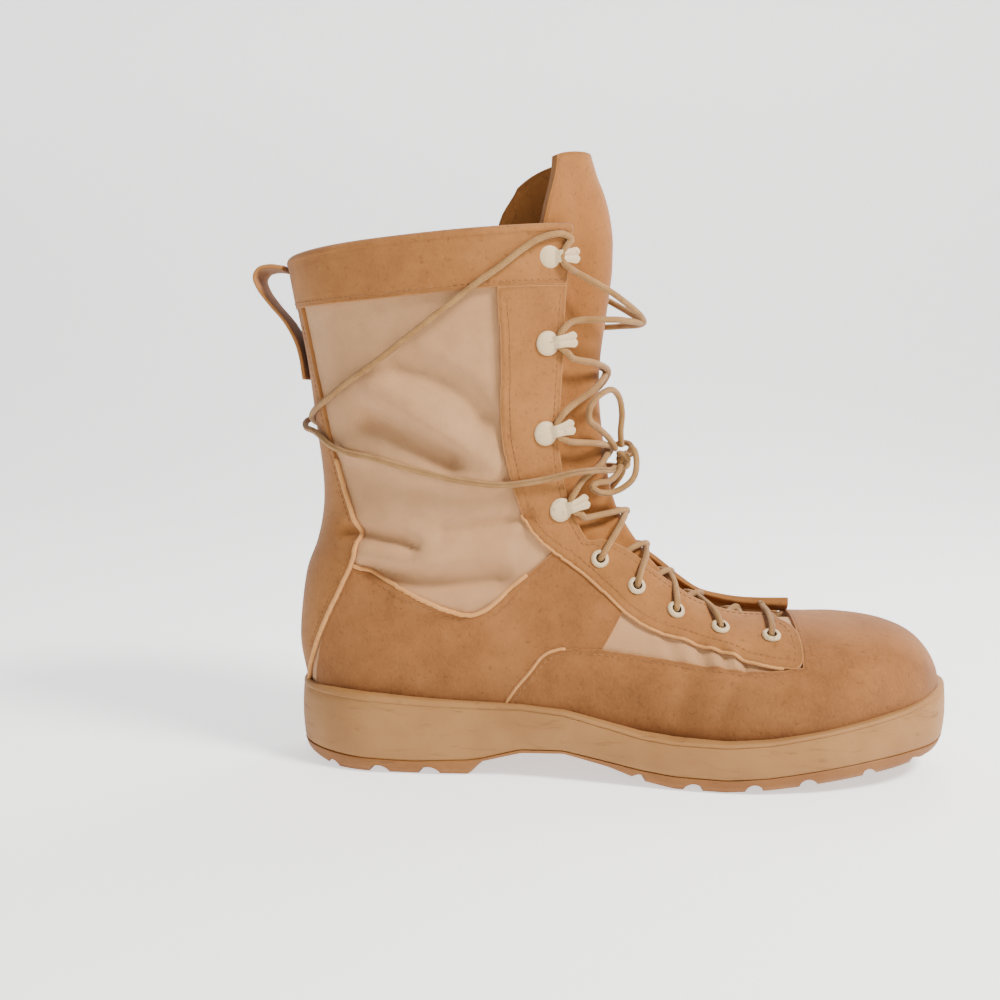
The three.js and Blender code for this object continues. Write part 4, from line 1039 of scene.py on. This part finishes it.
# Midsole: a moulded cup with a rolled rim, cut to the foot of the upper
cupProfile = [(0, -1.7), (0.025, -1.0), (0.06, -0.6), (0.2, -0.15), (0.4, 0.2), (0.62, 0.15), (0.78, -0.1), (0.86, -0.3),
              (0.885, -0.75), (0.9, -0.75), (0.92, -0.35), (0.95, -0.45), (0.98, -0.9), (0.995, -1.5), (1, -2.4), (1, -4)]


def seamLevel(share):
    return soleLevel("seam", share)


def rimLevel(share):
    return soleLevel("rim", share)


cupPoints, cupFaces = ringStack(soleRings(420, seamLevel, rimLevel, cupProfile))
midsole = newPiece("midsole", cupPoints, cupFaces, midsoleFinish)
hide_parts("midsole")
footTurns = np.linspace(-1, 1, 121)
footRows = np.linspace(0, collar - 4, 150)
footGrid = np.stack(np.meshgrid(footRows, footTurns, indexing="ij"), -1)
footForm = skin(footGrid[..., 0], footGrid[..., 1], np.full(footGrid.shape[:2], -0.5 * mm))
across = np.linspace(0, 1, 24)[None, 1:-1, None]
footForm = np.concatenate([footForm, mix(footForm[:, -1:], footForm[:, :1], across)], 1)
formRows, formCount = footForm.shape[:2]
lastRow = np.arange((formRows - 1) * formCount, formRows * formCount)
topFaces = np.stack([lastRow, np.roll(lastRow, -1), np.full(formCount, formRows * formCount)], 1)
formPoints = np.concatenate([footForm.reshape(-1, 3), footForm[-1].mean(0, keepdims=True)])
formFaces = gridFaces(formRows, formCount, True)
turned = not np.array_equal(outward(formPoints, formFaces), formFaces)
formFaces = [*formFaces.tolist(), *topFaces.tolist()]
cut(midsole, formPoints, [face[::-1] for face in formFaces] if turned else formFaces)
print("midsole")

# Outsole: gum rubber with rounded notches along its edge and shallow bars across the middle
treadProfile = [(0, -6), (0.02, -4.2), (0.1, -3.5), (0.3, -2.2), (0.5, -1.5), (0.8, -1.1), (0.95, -0.8), (1, -1.1)]
grooveRows = [(0.064, 0.022, 8), (0.139, 0.032, 8), (0.215, 0.032, 8), (0.529, 0.02, -10), (0.606, 0.027, -6),
              (0.69, 0.025, 0), (0.765, 0.025, 8), (0.852, 0.017, 18), (0.919, 0.013, 30)]
grooveDepth, grooveReach = 3.8 * mm, 24 * mm


def treadLevel(share):
    return soleLevel("tread", share)


def arch(middle, direction, reach, wide, depth):
    # a bar with a round-topped section: y across it and z = top * sqrt(1 - (y / half)^2), carried one way
    angle = np.linspace(0, np.pi, 13)
    section = np.stack([np.cos(angle) * wide / 2, np.sin(angle) * depth], 1)
    section = np.concatenate([section, [[-wide / 2, -3 * depth], [wide / 2, -3 * depth]]])
    along, across = np.array([*direction, 0]), np.array([-direction[1], direction[0], 0])
    points = []
    for end in (-reach, reach):
        ring = middle + along * end + section[:, :1] * across + section[:, 1:] * [0, 0, 1]
        points += [ring.mean(0, keepdims=True).repeat(len(ring), 0), ring]
    points = np.concatenate([points[0], points[1], points[3], points[2]])
    return points, outward(points, gridFaces(4, len(section), True))


treadPoints, treadFaces = ringStack(soleRings(420, treadLevel, seamLevel, treadProfile))
outsole = newPiece("outsole", treadPoints, treadFaces, gumFinish)
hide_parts("outsole")
bars = []
for at, gap, slant in grooveRows:
    for side, column in ((-1, "outer"), (1, "inner")):
        x, level = along(at), soleLevel("tread", at)
        edge = side * np.interp(at, soleTable["at"], soleTable[column]) * boot["soleWidth"] / 2
        slope = np.radians(slant)
        direction = (np.sin(slope), -side * np.cos(slope))
        bars.append(arch(np.array([x, edge, level]), direction, grooveReach, gap * boot["soleLength"], grooveDepth))
for at in np.concatenate([np.arange(0.1, 0.27, 0.038), np.arange(0.55, 0.9, 0.036)]):
    level = soleLevel("tread", at)
    reach = (8 if at < 0.4 else 17) * mm
    bars.append(arch(np.array([along(at), 0, level]), (0, 1), reach, 3.2 * mm, 1.4 * mm))
cut(outsole, *joined(bars))
print("outsole")

# Insole: felt board and foam, across the foot between the two sides of the shell
boardRows, boardShares = np.linspace(0.3, 13.4, 90), np.linspace(0, 1, 30)
left, right = surface(boardRows, -1.0), surface(boardRows, 1.0)
boardPlan = mix(left[:, None] - [0, 1.5 * mm, 0], right[:, None] + [0, 1.5 * mm, 0], boardShares[None, :, None])
boardTop = boardPlan + [0, 0, 4.3 * mm]
boardPoints = np.concatenate([boardTop.reshape(-1, 3), (boardPlan + [0, 0, 0.3 * mm]).reshape(-1, 3)])
insole = newPiece("insole", boardPoints, outward(boardPoints, thicken(gridFaces(90, 30), 2700)), insoleFinish)
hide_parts("insole")

# Tongue: a padded strip of the same surface, tucked under the facings and standing above them
tongueRows = table("v outer inner bulge outerTuck innerTuck", [
    [6.3, 0.2, 0.2, -5.5, -5.5, -5.5], [7, 0.24, 0.24, -4, -5.2, -5.2], [9, 0.28, 0.28, -2.5, -5.2, -5.2],
    [12, 0.3, 0.3, -1.5, -5.2, -5.2], [15, 0.31, 0.31, 0.5, -5.2, -5.2], [18, 0.32, 0.33, 2, -5.2, -5.2],
    [21, 0.31, 0.34, 3.4, -5.4, -5.6], [23.4, 0.29, 0.38, 5.5, -6.5, -9], [24.2, 0.27, 0.4, 2, -8, -12],
    [24.9, 0.25, 0.4, -4, -10, -14], [25.65, 0.2, 0.33, -9, -13, -16],
])


def softly(v, column):
    # a column of the tongue's table, eased by averaging over a station
    return sum(np.interp(v + step, tongueRows["v"], tongueRows[column]) for step in (-0.4, -0.2, 0, 0.2, 0.4)) / 5


def tongueOut(v, u):
    # distance out: from the tuck at its edge to the bulge in its middle, by a squared cosine
    open = 0.8 * throatTurn(np.minimum(v, collar))
    tuck = np.where(u < 0, softly(v, "outerTuck"), softly(v, "innerTuck"))
    swell = np.cos(np.pi / 2 * np.minimum(np.abs(u) / open, 1)) ** 2
    return mix(tuck, softly(v, "bulge"), swell) * mm


tongueV = np.linspace(6.3, 25.65, 220)[:, None]
tongueShare = np.linspace(0, 1, 72)[None]
tongueU = mix(-softly(tongueV, "outer"), softly(tongueV, "inner"), tongueShare)
tongueV = np.broadcast_to(tongueV, tongueU.shape)
endCurve = (np.abs(tongueShare - 0.45) / 0.55) ** 5 * np.clip((tongueV - 24.3) / 1.35, 0, 1) ** 2
tongueV = tongueV - 0.3 * endCurve
pads = 0.9 * mm * np.sin(np.clip((tongueV - 23.6) / 1.6, 0, 1) * np.pi) * np.sin(tongueShare * np.pi)
tongueTop = skin(tongueV, tongueU, tongueOut(tongueV, tongueU) + pads)
tongueUnder = skin(tongueV, tongueU, tongueOut(tongueV, tongueU) - 4.5 * mm)
tonguePoints = np.concatenate([tongueTop.reshape(-1, 3), tongueUnder.reshape(-1, 3)])
tongueFaces = gridFaces(*tongueU.shape)
tongueEdge = np.tile(fromBorder(tongueTop.reshape(-1, 3), tongueFaces), 2)
tongueUv = np.tile(gridUv(tongueTop).reshape(-1, 2), (2, 1))
tongue = newPiece("tongue", tonguePoints, outward(tonguePoints, thicken(tongueFaces, tongueU.size)), tongueFinish,
                  tongueUv, {"edge": tongueEdge})
roundEdges(tongue, 1.6 * mm, 3)
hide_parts("tongue")
print("tongue")

# Pull loop: a strip up the back seam, turned out and over to the collar
loopShares = [(0.0135, 0.73), (0.0075, 0.775), (0, 0.803), (-0.016, 0.838), (-0.042, 0.876), (-0.058, 0.904),
              (-0.063, 0.924), (-0.056, 0.938), (-0.04, 0.943), (-0.018, 0.94)]
loopLine = spline([(along(x), 0, z * boot["collarHeight"]) for x, z in loopShares], 1 * mm)
tangent, side, high = frames(loopLine, np.broadcast_to([0, 1.0, 0], loopLine.shape))


def strap(route, wide, thick, widen):
    # a flat strip: section y = wide/2 * cos(a)^(1/3), height = thick/2 * sin(a)^(1/2), carried along
    forward = unit(np.gradient(route, axis=0))
    across = np.array([0, 1.0, 0])
    over = np.cross(forward, across)
    angle = np.linspace(0, 2 * np.pi, 36, endpoint=False)
    c, s = np.cos(angle), np.sin(angle)
    y = np.sign(c) * np.abs(c) ** 0.33 * wide / 2
    h = np.sign(s) * np.abs(s) ** 0.5 * thick / 2
    ends = np.concatenate([route[:1], route, route[-1:]])
    over = np.concatenate([over[:1], over, over[-1:]])
    scale = np.concatenate([[1e-4], np.ones(len(route)), [1e-4]]) * np.concatenate([[1], widen, [1]])
    points = ends[:, None] + (across * y[:, None])[None] * scale[:, None, None] \
        + over[:, None] * h[None, :, None] * np.minimum(scale, 1)[:, None, None]
    rows, count = len(ends), 36
    grid = points.reshape(-1, 3)
    edge = np.tile((wide / 2 - np.abs(y)) / mm, rows)
    length = np.linspace(0, 1, rows)[:, None] + 0 * y[None]
    uv = np.stack([np.broadcast_to(y, length.shape) / 0.1, length], -1).reshape(-1, 2)
    return grid, outward(grid, gridFaces(rows, count, True)), uv, edge


loopT = np.linspace(0, 1, len(loopLine))
loopPoints, loopFaces, loopUv, loopEdge = strap(loopLine, 22 * mm, 2.6 * mm, 1 - 0.12 * np.sin(np.pi * loopT) ** 2)
loop = newPiece("pull_loop", loopPoints, loopFaces, suedeFinish, loopUv, {"edge": loopEdge})
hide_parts("pull_loop")

# Hooks and eyelets, each in a frame of its own: ahead to the throat, up the leg, out of the suede


def mountedAt(v, u, out):
    normal = facing(v, u)
    ahead = surface(v, u - np.sign(u) * 0.02) - surface(v, u)
    ahead = unit(ahead - (ahead @ normal) * normal)
    return skin(v, u, np.array(out)), np.stack([ahead, np.cross(normal, ahead), normal])


def turned(profile, count):
    # a profile of radius and height turned round the third axis, poles drawn together
    profile = np.array(profile, float)
    angle = np.linspace(0, 2 * np.pi, count, endpoint=False)
    r, z = profile[:, :1], profile[:, 1:]
    points = np.stack([r * np.cos(angle), r * np.sin(angle), z + 0 * angle], -1).reshape(-1, 3) * mm
    return points, outward(points, gridFaces(len(profile), count, True))


def ringOf(profile, count):
    # a closed profile turned round the third axis, as a ring
    points, faces = turned([*profile, profile[0]], count)
    return points, faces


def prong():
    # the hook's tongue: half width b(s), height rising from the disc, a groove along its middle
    s, t = np.linspace(0, 1, 30)[:, None], np.linspace(-1, 1, 25)[None]
    rise = np.clip(s / 0.32, 0, 1)
    middle = 1.0 + 2.3 * rise**2 * (3 - 2 * rise)
    half = np.interp(s, [0, 0.3, 0.55, 0.8, 0.93, 1], [2.8, 2.7, 2.9, 3.5, 3.6, 3.1])
    tipped = 12.8 * s + 0.8 - 0.9 * np.abs(t) ** 2.5 * (s > 0.85) - 0.8 * np.exp(-((t / 0.3) ** 2)) * s**8
    top = middle + 0.65 - 0.6 * np.exp(-((t / 0.22) ** 2)) * np.clip((s - 0.2) * 5, 0, 1) - 0.35 * t**2
    under = middle - 0.6 - 0.2 * t**2
    x, y = tipped, half * t
    upper = np.stack(np.broadcast_arrays(x, y, top), -1).reshape(-1, 3)
    lower = np.stack(np.broadcast_arrays(x, y, under), -1).reshape(-1, 3)
    points = np.concatenate([upper, lower]) * mm
    return points, outward(points, thicken(gridFaces(30, 25), 750))


hookPlaces = [(16.36, 0.242, 0), (19.15, 0.278, 0.2), (21.47, 0.266, 0.2), (23.4, 0.269, 0.3)]
eyeletPlaces = [(6.44, 0.317, 0), (7.36, 0.311, 0), (8.52, 0.329, 0), (9.96, 0.317, 0), (11.93, 0.278, 0.2)]
discProfile = [(1e-3, 2.0), (1.2, 1.97), (2.6, 1.8), (4, 1.4), (5, 0.95), (5.5, 0.55), (5.65, 0.2), (5.6, -0.3), (1e-3, -0.3)]
rimProfile = [(2.15, 0.1), (2.1, 0.6), (2.3, 1.0), (2.8, 1.25), (3.4, 1.15), (3.95, 0.75), (4.3, 0.25), (4.35, -0.4), (2.15, -0.4)]
holeShadowProfile = [(1e-3, 0.12), (2.3, 0.12), (2.3, -0.3), (1e-3, -0.3)]
suedeRise = 0.9
hookBody = joined([turned(discProfile, 40), prong()])
for side, word in ((-1, "outer"), (1, "inner")):
    for i, (v, u, pressed) in enumerate(hookPlaces, 1):
        place, axes = mountedAt(v, side * u, (0.3 + suedeRise * (i < 4) - pressed) * mm)
        flip = 1 if np.linalg.det(axes) > 0 else -1
        points = place + hookBody[0] @ axes
        made = newPiece(f"hook_{word}_{i}", points, outward(points, hookBody[1]), metalFinish)
        roundEdges(made, 0.22 * mm)
        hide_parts(f"hook_{word}_{i}")
    for i, (v, u, pressed) in enumerate(eyeletPlaces, 1):
        place, axes = mountedAt(v, side * u, (0.3 + suedeRise - pressed) * mm)
        # a dark disc closes the hole: painted shade inside the eyelet
        rim, well = ringOf(rimProfile, 36), turned(holeShadowProfile, 36)
        local, faces = joined([rim, well])
        points = place + local @ axes
        made = newPiece(f"eyelet_{word}_{i}", points, outward(points, faces), [metalFinish, holeShadowFinish])
        dark = np.linalg.norm(np.array([polygon.center for polygon in made.data.polygons]) - place, axis=1) < 2.35 * mm
        flatOnes = np.array([len(polygon.vertices) for polygon in made.data.polygons])
        made.data.polygons.foreach_set("material_index", (dark & (flatOnes >= 3)).astype(np.int32))
        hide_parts(f"eyelet_{word}_{i}")
print("hooks and eyelets")

# Lace: two strands that zigzag from the toe up through eyelets and round hooks, then the free lace
laceRows = table("low high turn", [
    [6.44, 6.62, 0.235], [7.22, 7.5, 0.23], [8.36, 8.7, 0.245], [9.72, 10.25, 0.235], [11.5, 12.4, 0.2],
    [15.7, 16.95, 0.2], [18.7, 19.6, 0.22], [21.05, 21.9, 0.21], [23.13, 23.5, 0.21],
])
slack = [0, 0, 0, 0, 0.8, 0.2, 1.2, 15]
droop = [0, 0, 0, 0, 0, 0.1, 0.2, -0.55]
eyeletCount, laceLift = 5, 2.2


def onSkin(v, u, out):
    return skin(np.array(v, float), np.array(u, float), np.array(out * mm))


def strand(first):
    # one lace: over its first eyelet, then from side to side up the throat; over or under at each crossing
    side = first
    route = [onSkin(6.44, 0, laceLift + 0.3 * first), onSkin(6.42, side * 0.16, laceLift + 0.4),
             onSkin(6.42, side * 0.27, 2.8), onSkin(6.44, side * 0.311, 1.6), onSkin(6.46, side * 0.317, -0.6),
             onSkin(6.6, side * 0.26, -4.2)]
    for i in range(len(laceRows["low"]) - 1):
        high, low = laceRows["high"][i], laceRows["low"][i + 1]
        turn, nextTurn = laceRows["turn"][i], laceRows["turn"][i + 1]
        above = laceLift + (0.9 if (first > 0) == (i % 2 == 0) else -0.5)
        middle = mix(high, low, 0.5) + droop[i]
        centre = max(float(tongueOut(np.array(middle), np.array(0.0))) / mm, -3) + above + slack[i]
        edgeOut = [float(tongueOut(np.array(v), np.array(side * 0.6 * float(throatTurn(v))))) / mm for v in (high, low)]
        if i == 0:
            route.append(onSkin(high + 0.15, side * 0.11, -2.6))
        else:
            route.append(onSkin(mix(high, middle, 0.14), side * (turn - 0.02), laceLift + 0.1))
            route.append(onSkin(mix(high, middle, 0.5), side * turn * 0.5, mix(max(edgeOut[0], 0) + laceLift, centre, 0.6)))
        route.append(onSkin(middle, 0, centre))
        if i + 1 < eyeletCount:
            v, u = eyeletPlaces[i + 1][:2]
            route.append(onSkin(mix(middle, low, 0.5), -side * throatTurn(middle) * 0.55, mix(centre, edgeOut[1] + 2, 0.6)))
            route.append(onSkin(low - 0.02, -side * (throatTurn(low) + 0.03), -4.4))
            route.append(onSkin(v - 0.03, -side * (u - 0.01), -3.4))
            route.append(onSkin(v, -side * u, -0.4))
            route.append(onSkin(v + 0.01, -side * (u - 0.004), 1.9))
            leave = laceRows["high"][i + 1]
            route.append(onSkin(mix(v, leave, 0.5), -side * (u - 0.035), 2.9))
        else:
            route.append(onSkin(mix(middle, low, 0.5), -side * nextTurn * 0.5, mix(centre, laceLift, 0.5)))
            route.append(onSkin(mix(middle, low, 0.92), -side * (nextTurn - 0.015), laceLift + 0.2))
            v, u, pressed = hookPlaces[i + 1 - eyeletCount]
            place, axes = mountedAt(v, -side * u, 0.9 * mm)
            upward = np.sign(axes[1][2])
            ends = [(8.6, -5.6, 1.9), (5.9, -3.2, 1.7), (4.9, 0, 1.6), (5.9, 3.2, 1.7), (8.6, 5.6, 1.9)]
            if i + 2 == len(laceRows["low"]):
                ends = ends[:3]
            route += [place + np.array([a, b * upward, n]) * mm @ axes for a, b, n in ends]
        side = -side
    return route, side


wrapRoutes = {
    "lace_wrap_outer": [
        [98, -33.5, 247], [93.5, -36.5, 249], [84, -41.5, 246.5], [75.5, -44, 241], [67.5, -46, 234.5],
        [55.5, -47.5, 226], [44.5, -48, 217.5], [32.5, -48, 208.5], [21, -46.5, 200], [8.5, -44, 191],
        [-4.5, -38.5, 183], [-15, -31.5, 176], [-23.5, -22, 171], [-28, -11.5, 167.5], [-29.5, 0, 165],
        [-28, 11.5, 162.5], [-23.5, 19.5, 160], [-14.5, 29, 154], [-6, 34.5, 151], [5, 39, 149],
        [17.5, 42, 146], [29, 43, 143], [43.5, 42.5, 139.5], [55, 41, 137.5], [66, 39, 136.5],
        [77.5, 36.5, 137.5], [89, 33.5, 139.5], [100, 30.5, 142], [111, 22, 142.7], [117.5, 11.5, 143],
        [119.5, 3.5, 143],
    ],
    "lace_wrap_inner": [
        [98, 33.5, 247], [93.5, 36.5, 249], [84, 41.5, 246.5], [75.5, 44, 241], [67.5, 46, 234.5],
        [55.5, 47.5, 226], [44.5, 48, 217.5], [32.5, 48, 208.5], [21, 46.5, 200], [8.5, 44, 191],
        [-4.5, 38.5, 183], [-15, 31.5, 176], [-24.5, 22.5, 171], [-30.5, 12, 167.5], [-33.5, 0, 165],
        [-30.5, -12, 162], [-24, -20, 160], [-14.5, -29, 154], [-6, -34.5, 151], [5, -39, 149],
        [17.5, -42, 146], [29, -43, 143], [43.5, -42.5, 139.5], [55, -41, 137.5], [66, -39, 136.5],
        [77.5, -36.5, 137.5], [89, -33.5, 139.5], [100, -30.5, 142], [110.7, -21.2, 142.6], [116.5, -12, 142],
        [118.5, -4.5, 143],
    ],
    "lace_loop_1": [
        [121.5, -0.5, 152.8], [121, -2.5, 160], [121.5, -5, 169], [120, -9.5, 176.5], [116.5, -15.5, 180],
        [111.5, -21.5, 178], [106.5, -26, 172], [106, -24.5, 166.5], [110.5, -16.5, 162], [115.5, -9.5, 157],
        [118.8, -4.8, 151.5],
    ],
    "lace_loop_2": [
        [125, -4.5, 151], [127, -7, 152], [128.5, -10, 146], [127, -12.5, 138.5], [121.5, -13, 133.5],
        [115.5, -14.5, 131.5], [110, -18.5, 132.5], [107.5, -21, 135], [110, -18.5, 136.5], [115.5, -13, 137],
        [119.5, -9.5, 140.5], [121.2, -7, 144.2],
    ],
    "lace_end_1": [[122.5, 4.2, 144.8], [122.5, 8, 140.5], [119.5, 13, 135], [115.5, 18, 130.5], [109.5, 25.5, 127]],
    "lace_end_2": [[126, 3.2, 148.5], [127, 8, 151.5], [125, 13, 154], [120, 17, 153.5], [113.5, 21.5, 150],
                   [107, 27, 146]],
}


def laced(name, points, radius=boot["lace"] / 2):
    line = spline(points, 0.9 * mm)
    tangent = unit(np.gradient(line, axis=0))
    up = np.where(np.abs(tangent[:, 2:]) < 0.8, [[0, 0, 1.0]], [[0, 1.0, 0]])
    shape, faces, uv = tube(line, radius, carried(line), 12)
    made = newPiece(name, shape, faces, laceFinish, uv)
    return made, line


def carried(route):
    # an up direction carried along a path: each step takes away what lies along the tangent
    tangent = unit(np.gradient(route, axis=0))
    up = np.cross(tangent[0], [0.3, 0.2, 1.0])
    ups = []
    for step in tangent:
        up = up - (up @ step) * step
        up = up / np.linalg.norm(up)
        ups.append(up)
    return np.array(ups)


for first, word in ((1, "first"), (-1, "second")):
    route, side = strand(first)
    end = np.array(wrapRoutes["lace_wrap_inner" if side > 0 else "lace_wrap_outer"][0]) * mm
    route.append(mix(route[-1], end, 0.6) + [0, side * 0.4 * mm, 0.8 * mm])
    route.append(end)
    made, line = laced(f"lace_{word}", np.array(route))
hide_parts("lace_bar", "lace_cross_1", "lace_cross_3", "lace_cross_5", "lace_cross_7")
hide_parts("lace_cross_2", "lace_cross_4", "lace_cross_6", "lace_cross_8")

turn = np.linspace(0, 2 * np.pi, 161)
trefoil = np.stack([np.sin(turn) + 2 * np.sin(2 * turn), np.cos(turn) - 2 * np.cos(2 * turn), -1.2 * np.sin(3 * turn)], 1)
knotLine = np.array([122.5, -1.5, 147]) * mm + trefoil[:, [2, 0, 1]] * [1.7 * mm, 1.3 * mm, 1.3 * mm]
knotShape, knotFaces, knotUv = tube(knotLine, 1.55 * mm, carried(knotLine), 12)
knot = newPiece("lace_knot", knotShape, knotFaces, laceFinish, knotUv)
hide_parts("lace_knot")
for name, points in wrapRoutes.items():
    made, line = laced(name, np.array(points) * mm)
    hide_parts(name)
print("laces")

# Stitches, in rows beside the borders of the panels


def beside(line, inset, towards):
    # the row on the side of the line where the place called towards lies
    target = surface(*towards)
    rows = [sideways(line, 1, sign * inset) for sign in (1, -1)]
    gap = [np.linalg.norm(onSurface(row) - target, axis=1).mean() for row in rows]
    return smoothed(rows[int(gap[1] < gap[0])][1:-1], len(line), 3)


quarterSeam = border(quarterTop, count=90, soft=6)
bandSeam = smoothed([[23.2, 0.99], *bandLow[1:-1], [22.77, 0.225]], 120, 5)
seams = [
    # a line, its distance from the border, a place on the stitched side, and its layer
    (facingLeft[2:-3], 4.4, (14, 0.28), "facing"),
    (facingLow[2:-2], 3.6, (7.5, 0.3), "facing"),
    (facingRight[3:-3], 3.0, (14, 0.3), "facing"),
    (quarterSeam[2:-6], 3.0, (12, 0.7), "quarter"),
    (wingRight[10:], 2.4, (8, 0.8), "panel"),
    (wingHigh[6:], 2.2, (8, 0.8), "panel"),
    (stayCut[12:-3], 2.8, (18, 0.97), "stay"),
    (bandSeam, 2.4, (23.8, 0.6), "band"),
]
for side, word in ((-1, "outer"), (1, "inner")):
    rows = [stitchRow(beside(line, inset * mm, towards), side, layers[layer]) for line, inset, towards, layer in seams]
    points, faces = joined(rows)
    newPiece(f"stitches_{word}", points, faces, threadFinish)
print("stitches")

# Corded edges of the backstay and quarters, and the turned edge of the collar


def beading(name, line, side, radius, out, finish):
    v, u = line[:, 0], side * line[:, 1]
    shape, faces, uv = tube(skin(v, u, np.full(len(v), out)), radius, facing(v, u), 10)
    return newPiece(name, shape, faces, finish, uv, {"edge": np.full(len(shape), 3.0)})


# the corded edges are drawn in the paler suede, a painted highlight along their ridges
for side, word in ((-1, "outer"), (1, "inner")):
    beading(f"beading_stay_{word}", stayCut[:-40], side, 1.15 * mm, -0.1 * mm, beadHighlightFinish)
    beading(f"beading_quarter_{word}", quarterSeam[:-14], side, 1.1 * mm, -0.5 * mm, beadHighlightFinish)
    beading(f"beading_vamp_{word}", wingRight, side, 0.8 * mm, -0.3 * mm, beadHighlightFinish)
    beading(f"beading_facing_{word}", facingLeft[4:100], side, 0.8 * mm, 0.1 * mm, beadHighlightFinish)

# Lip of the inner facing: its edge stands up beside the tongue and ends in a free cut corner
lipTop = [(134, 13.5, 101.5), (138, 13.2, 99), (145, 13, 93.6), (151, 13.2, 88.6), (161, 13.6, 82), (171, 13.6, 79.4),
          (181, 13.4, 78), (191, 13, 77.7), (204.6, 12.6, 77.9)]
lipFoot = [(133, 15, 97), (138, 14.6, 93.5), (145, 14.4, 88), (151, 14.6, 83.5), (161, 15.2, 78), (171, 15.4, 74.6),
           (181, 15.2, 72.6), (191, 14.6, 71.6), (204, 13.6, 70.9)]
lipEdges = [spline(np.array(edge) * mm, 0.5 * mm) for edge in (lipTop, lipFoot)]
lipEdges = [resample(edge, 150, lambda line: line) for edge in lipEdges]
lipShare = np.linspace(0, 1, 20)[:, None]
curl = np.array([0, -2.2 * mm, 0]) * np.sin(np.pi * lipShare[..., None]) ** 1.5
lipGrid = mix(lipEdges[0][None], lipEdges[1][None], lipShare[..., None]) + curl
lipPoints = np.concatenate([lipGrid.reshape(-1, 3), (lipGrid + [0, 2.4 * mm, -0.2 * mm]).reshape(-1, 3)])
lipEdge = np.tile(fromBorder(lipGrid.reshape(-1, 3), gridFaces(20, 150)), 2)
lip = newPiece("facing_lip", lipPoints, outward(lipPoints, thicken(gridFaces(20, 150), 3000)), suedeFinish,
               np.tile(gridUv(lipGrid).reshape(-1, 2), (2, 1)), {"edge": lipEdge})
roundEdges(lip, 0.9 * mm, 3)

rimTurn = np.concatenate([-np.linspace(0.212, 1, 150), np.linspace(1, 0.212, 150)[1:]])
rimV = np.full(len(rimTurn), collar - 0.03)
rimLine = skin(rimV, rimTurn, np.full(len(rimV), -1.3 * mm))
rimShape, rimFaces, rimUv = tube(rimLine, 2.7 * mm, facing(rimV, rimTurn), 16)
newPiece("collar_edge", rimShape, rimFaces, suedeFinish, rimUv, {"edge": np.full(len(rimShape), 3.0)})
print("edges")

# Camera, light and floor


def aimed(made, place, target):
    made.location = place
    made.rotation_euler = (Vector(target) - Vector(place)).to_track_quat("-Z", "Y").to_euler()
    bpy.context.scene.collection.objects.link(made)
    return made


lens = bpy.data.cameras.new("camera")
lens.lens, lens.sensor_width = 39.6, 36
lens.clip_start = 0.02
cameraPlace = Vector((0.10897, -0.53601, 0.17288))
camera = aimed(bpy.data.objects.new("camera", lens), cameraPlace, cameraPlace + Vector((-0.0861, 0.9926, -0.0860)))
bpy.context.scene.camera = camera


def areaLight(name, place, target, size, power, tone):
    light = bpy.data.lights.new(name, "AREA")
    light.shape, light.size, light.energy, light.color = "DISK", size, power, tone
    return aimed(bpy.data.objects.new(name, light), place, target)


bootMiddle = (0.11, 0, 0.12)
areaLight("key", (0.95, -0.5, 1.15), bootMiddle, 0.4, 42, (1, 0.97, 0.92))
areaLight("fill", (-0.5, -1.3, 0.6), bootMiddle, 1.2, 3, (0.95, 0.97, 1))
areaLight("rim", (0.6, 0.9, 0.9), bootMiddle, 0.6, 7, (1, 1, 1))

world = bpy.data.worlds.new("studio")
bpy.context.scene.world = world
world.use_nodes = True
sky = world.node_tree.nodes["Background"]
sky.inputs["Color"].default_value = (0.94, 0.96, 1, 1)
sky.inputs["Strength"].default_value = 0.42

# floor that sweeps up behind the boot: flat to a line, then a quarter circle of its radius, then a wall
sweepRadius, sweepStart = 0.9, 0.9
bend = np.linspace(0, np.pi / 2, 24)
run = np.concatenate([[-3], sweepStart + sweepRadius * np.sin(bend), [sweepStart + sweepRadius]])
rise = np.concatenate([[0], sweepRadius * (1 - np.cos(bend)), [4]])
wide = np.array([-4, 4])
sweep = np.stack(np.broadcast_arrays(wide[None], run[:, None], rise[:, None]), -1).reshape(-1, 3)
floorMesh = bpy.data.meshes.new("floor")
floorMesh.from_pydata(sweep.tolist(), [], gridFaces(len(run), 2).tolist())
floorMesh.polygons.foreach_set("use_smooth", np.full(len(floorMesh.polygons), True))
floor = bpy.data.objects.new("floor", floorMesh)
bpy.context.scene.collection.objects.link(floor)
paper = Finish("paper", Base_Color=(0.9, 0.9, 0.89, 1), Roughness=0.9, Specular_IOR_Level=0.1,
               Emission_Color=(1, 1, 1, 1), Emission_Strength=1.0)
floorMesh.materials.append(paper.material)
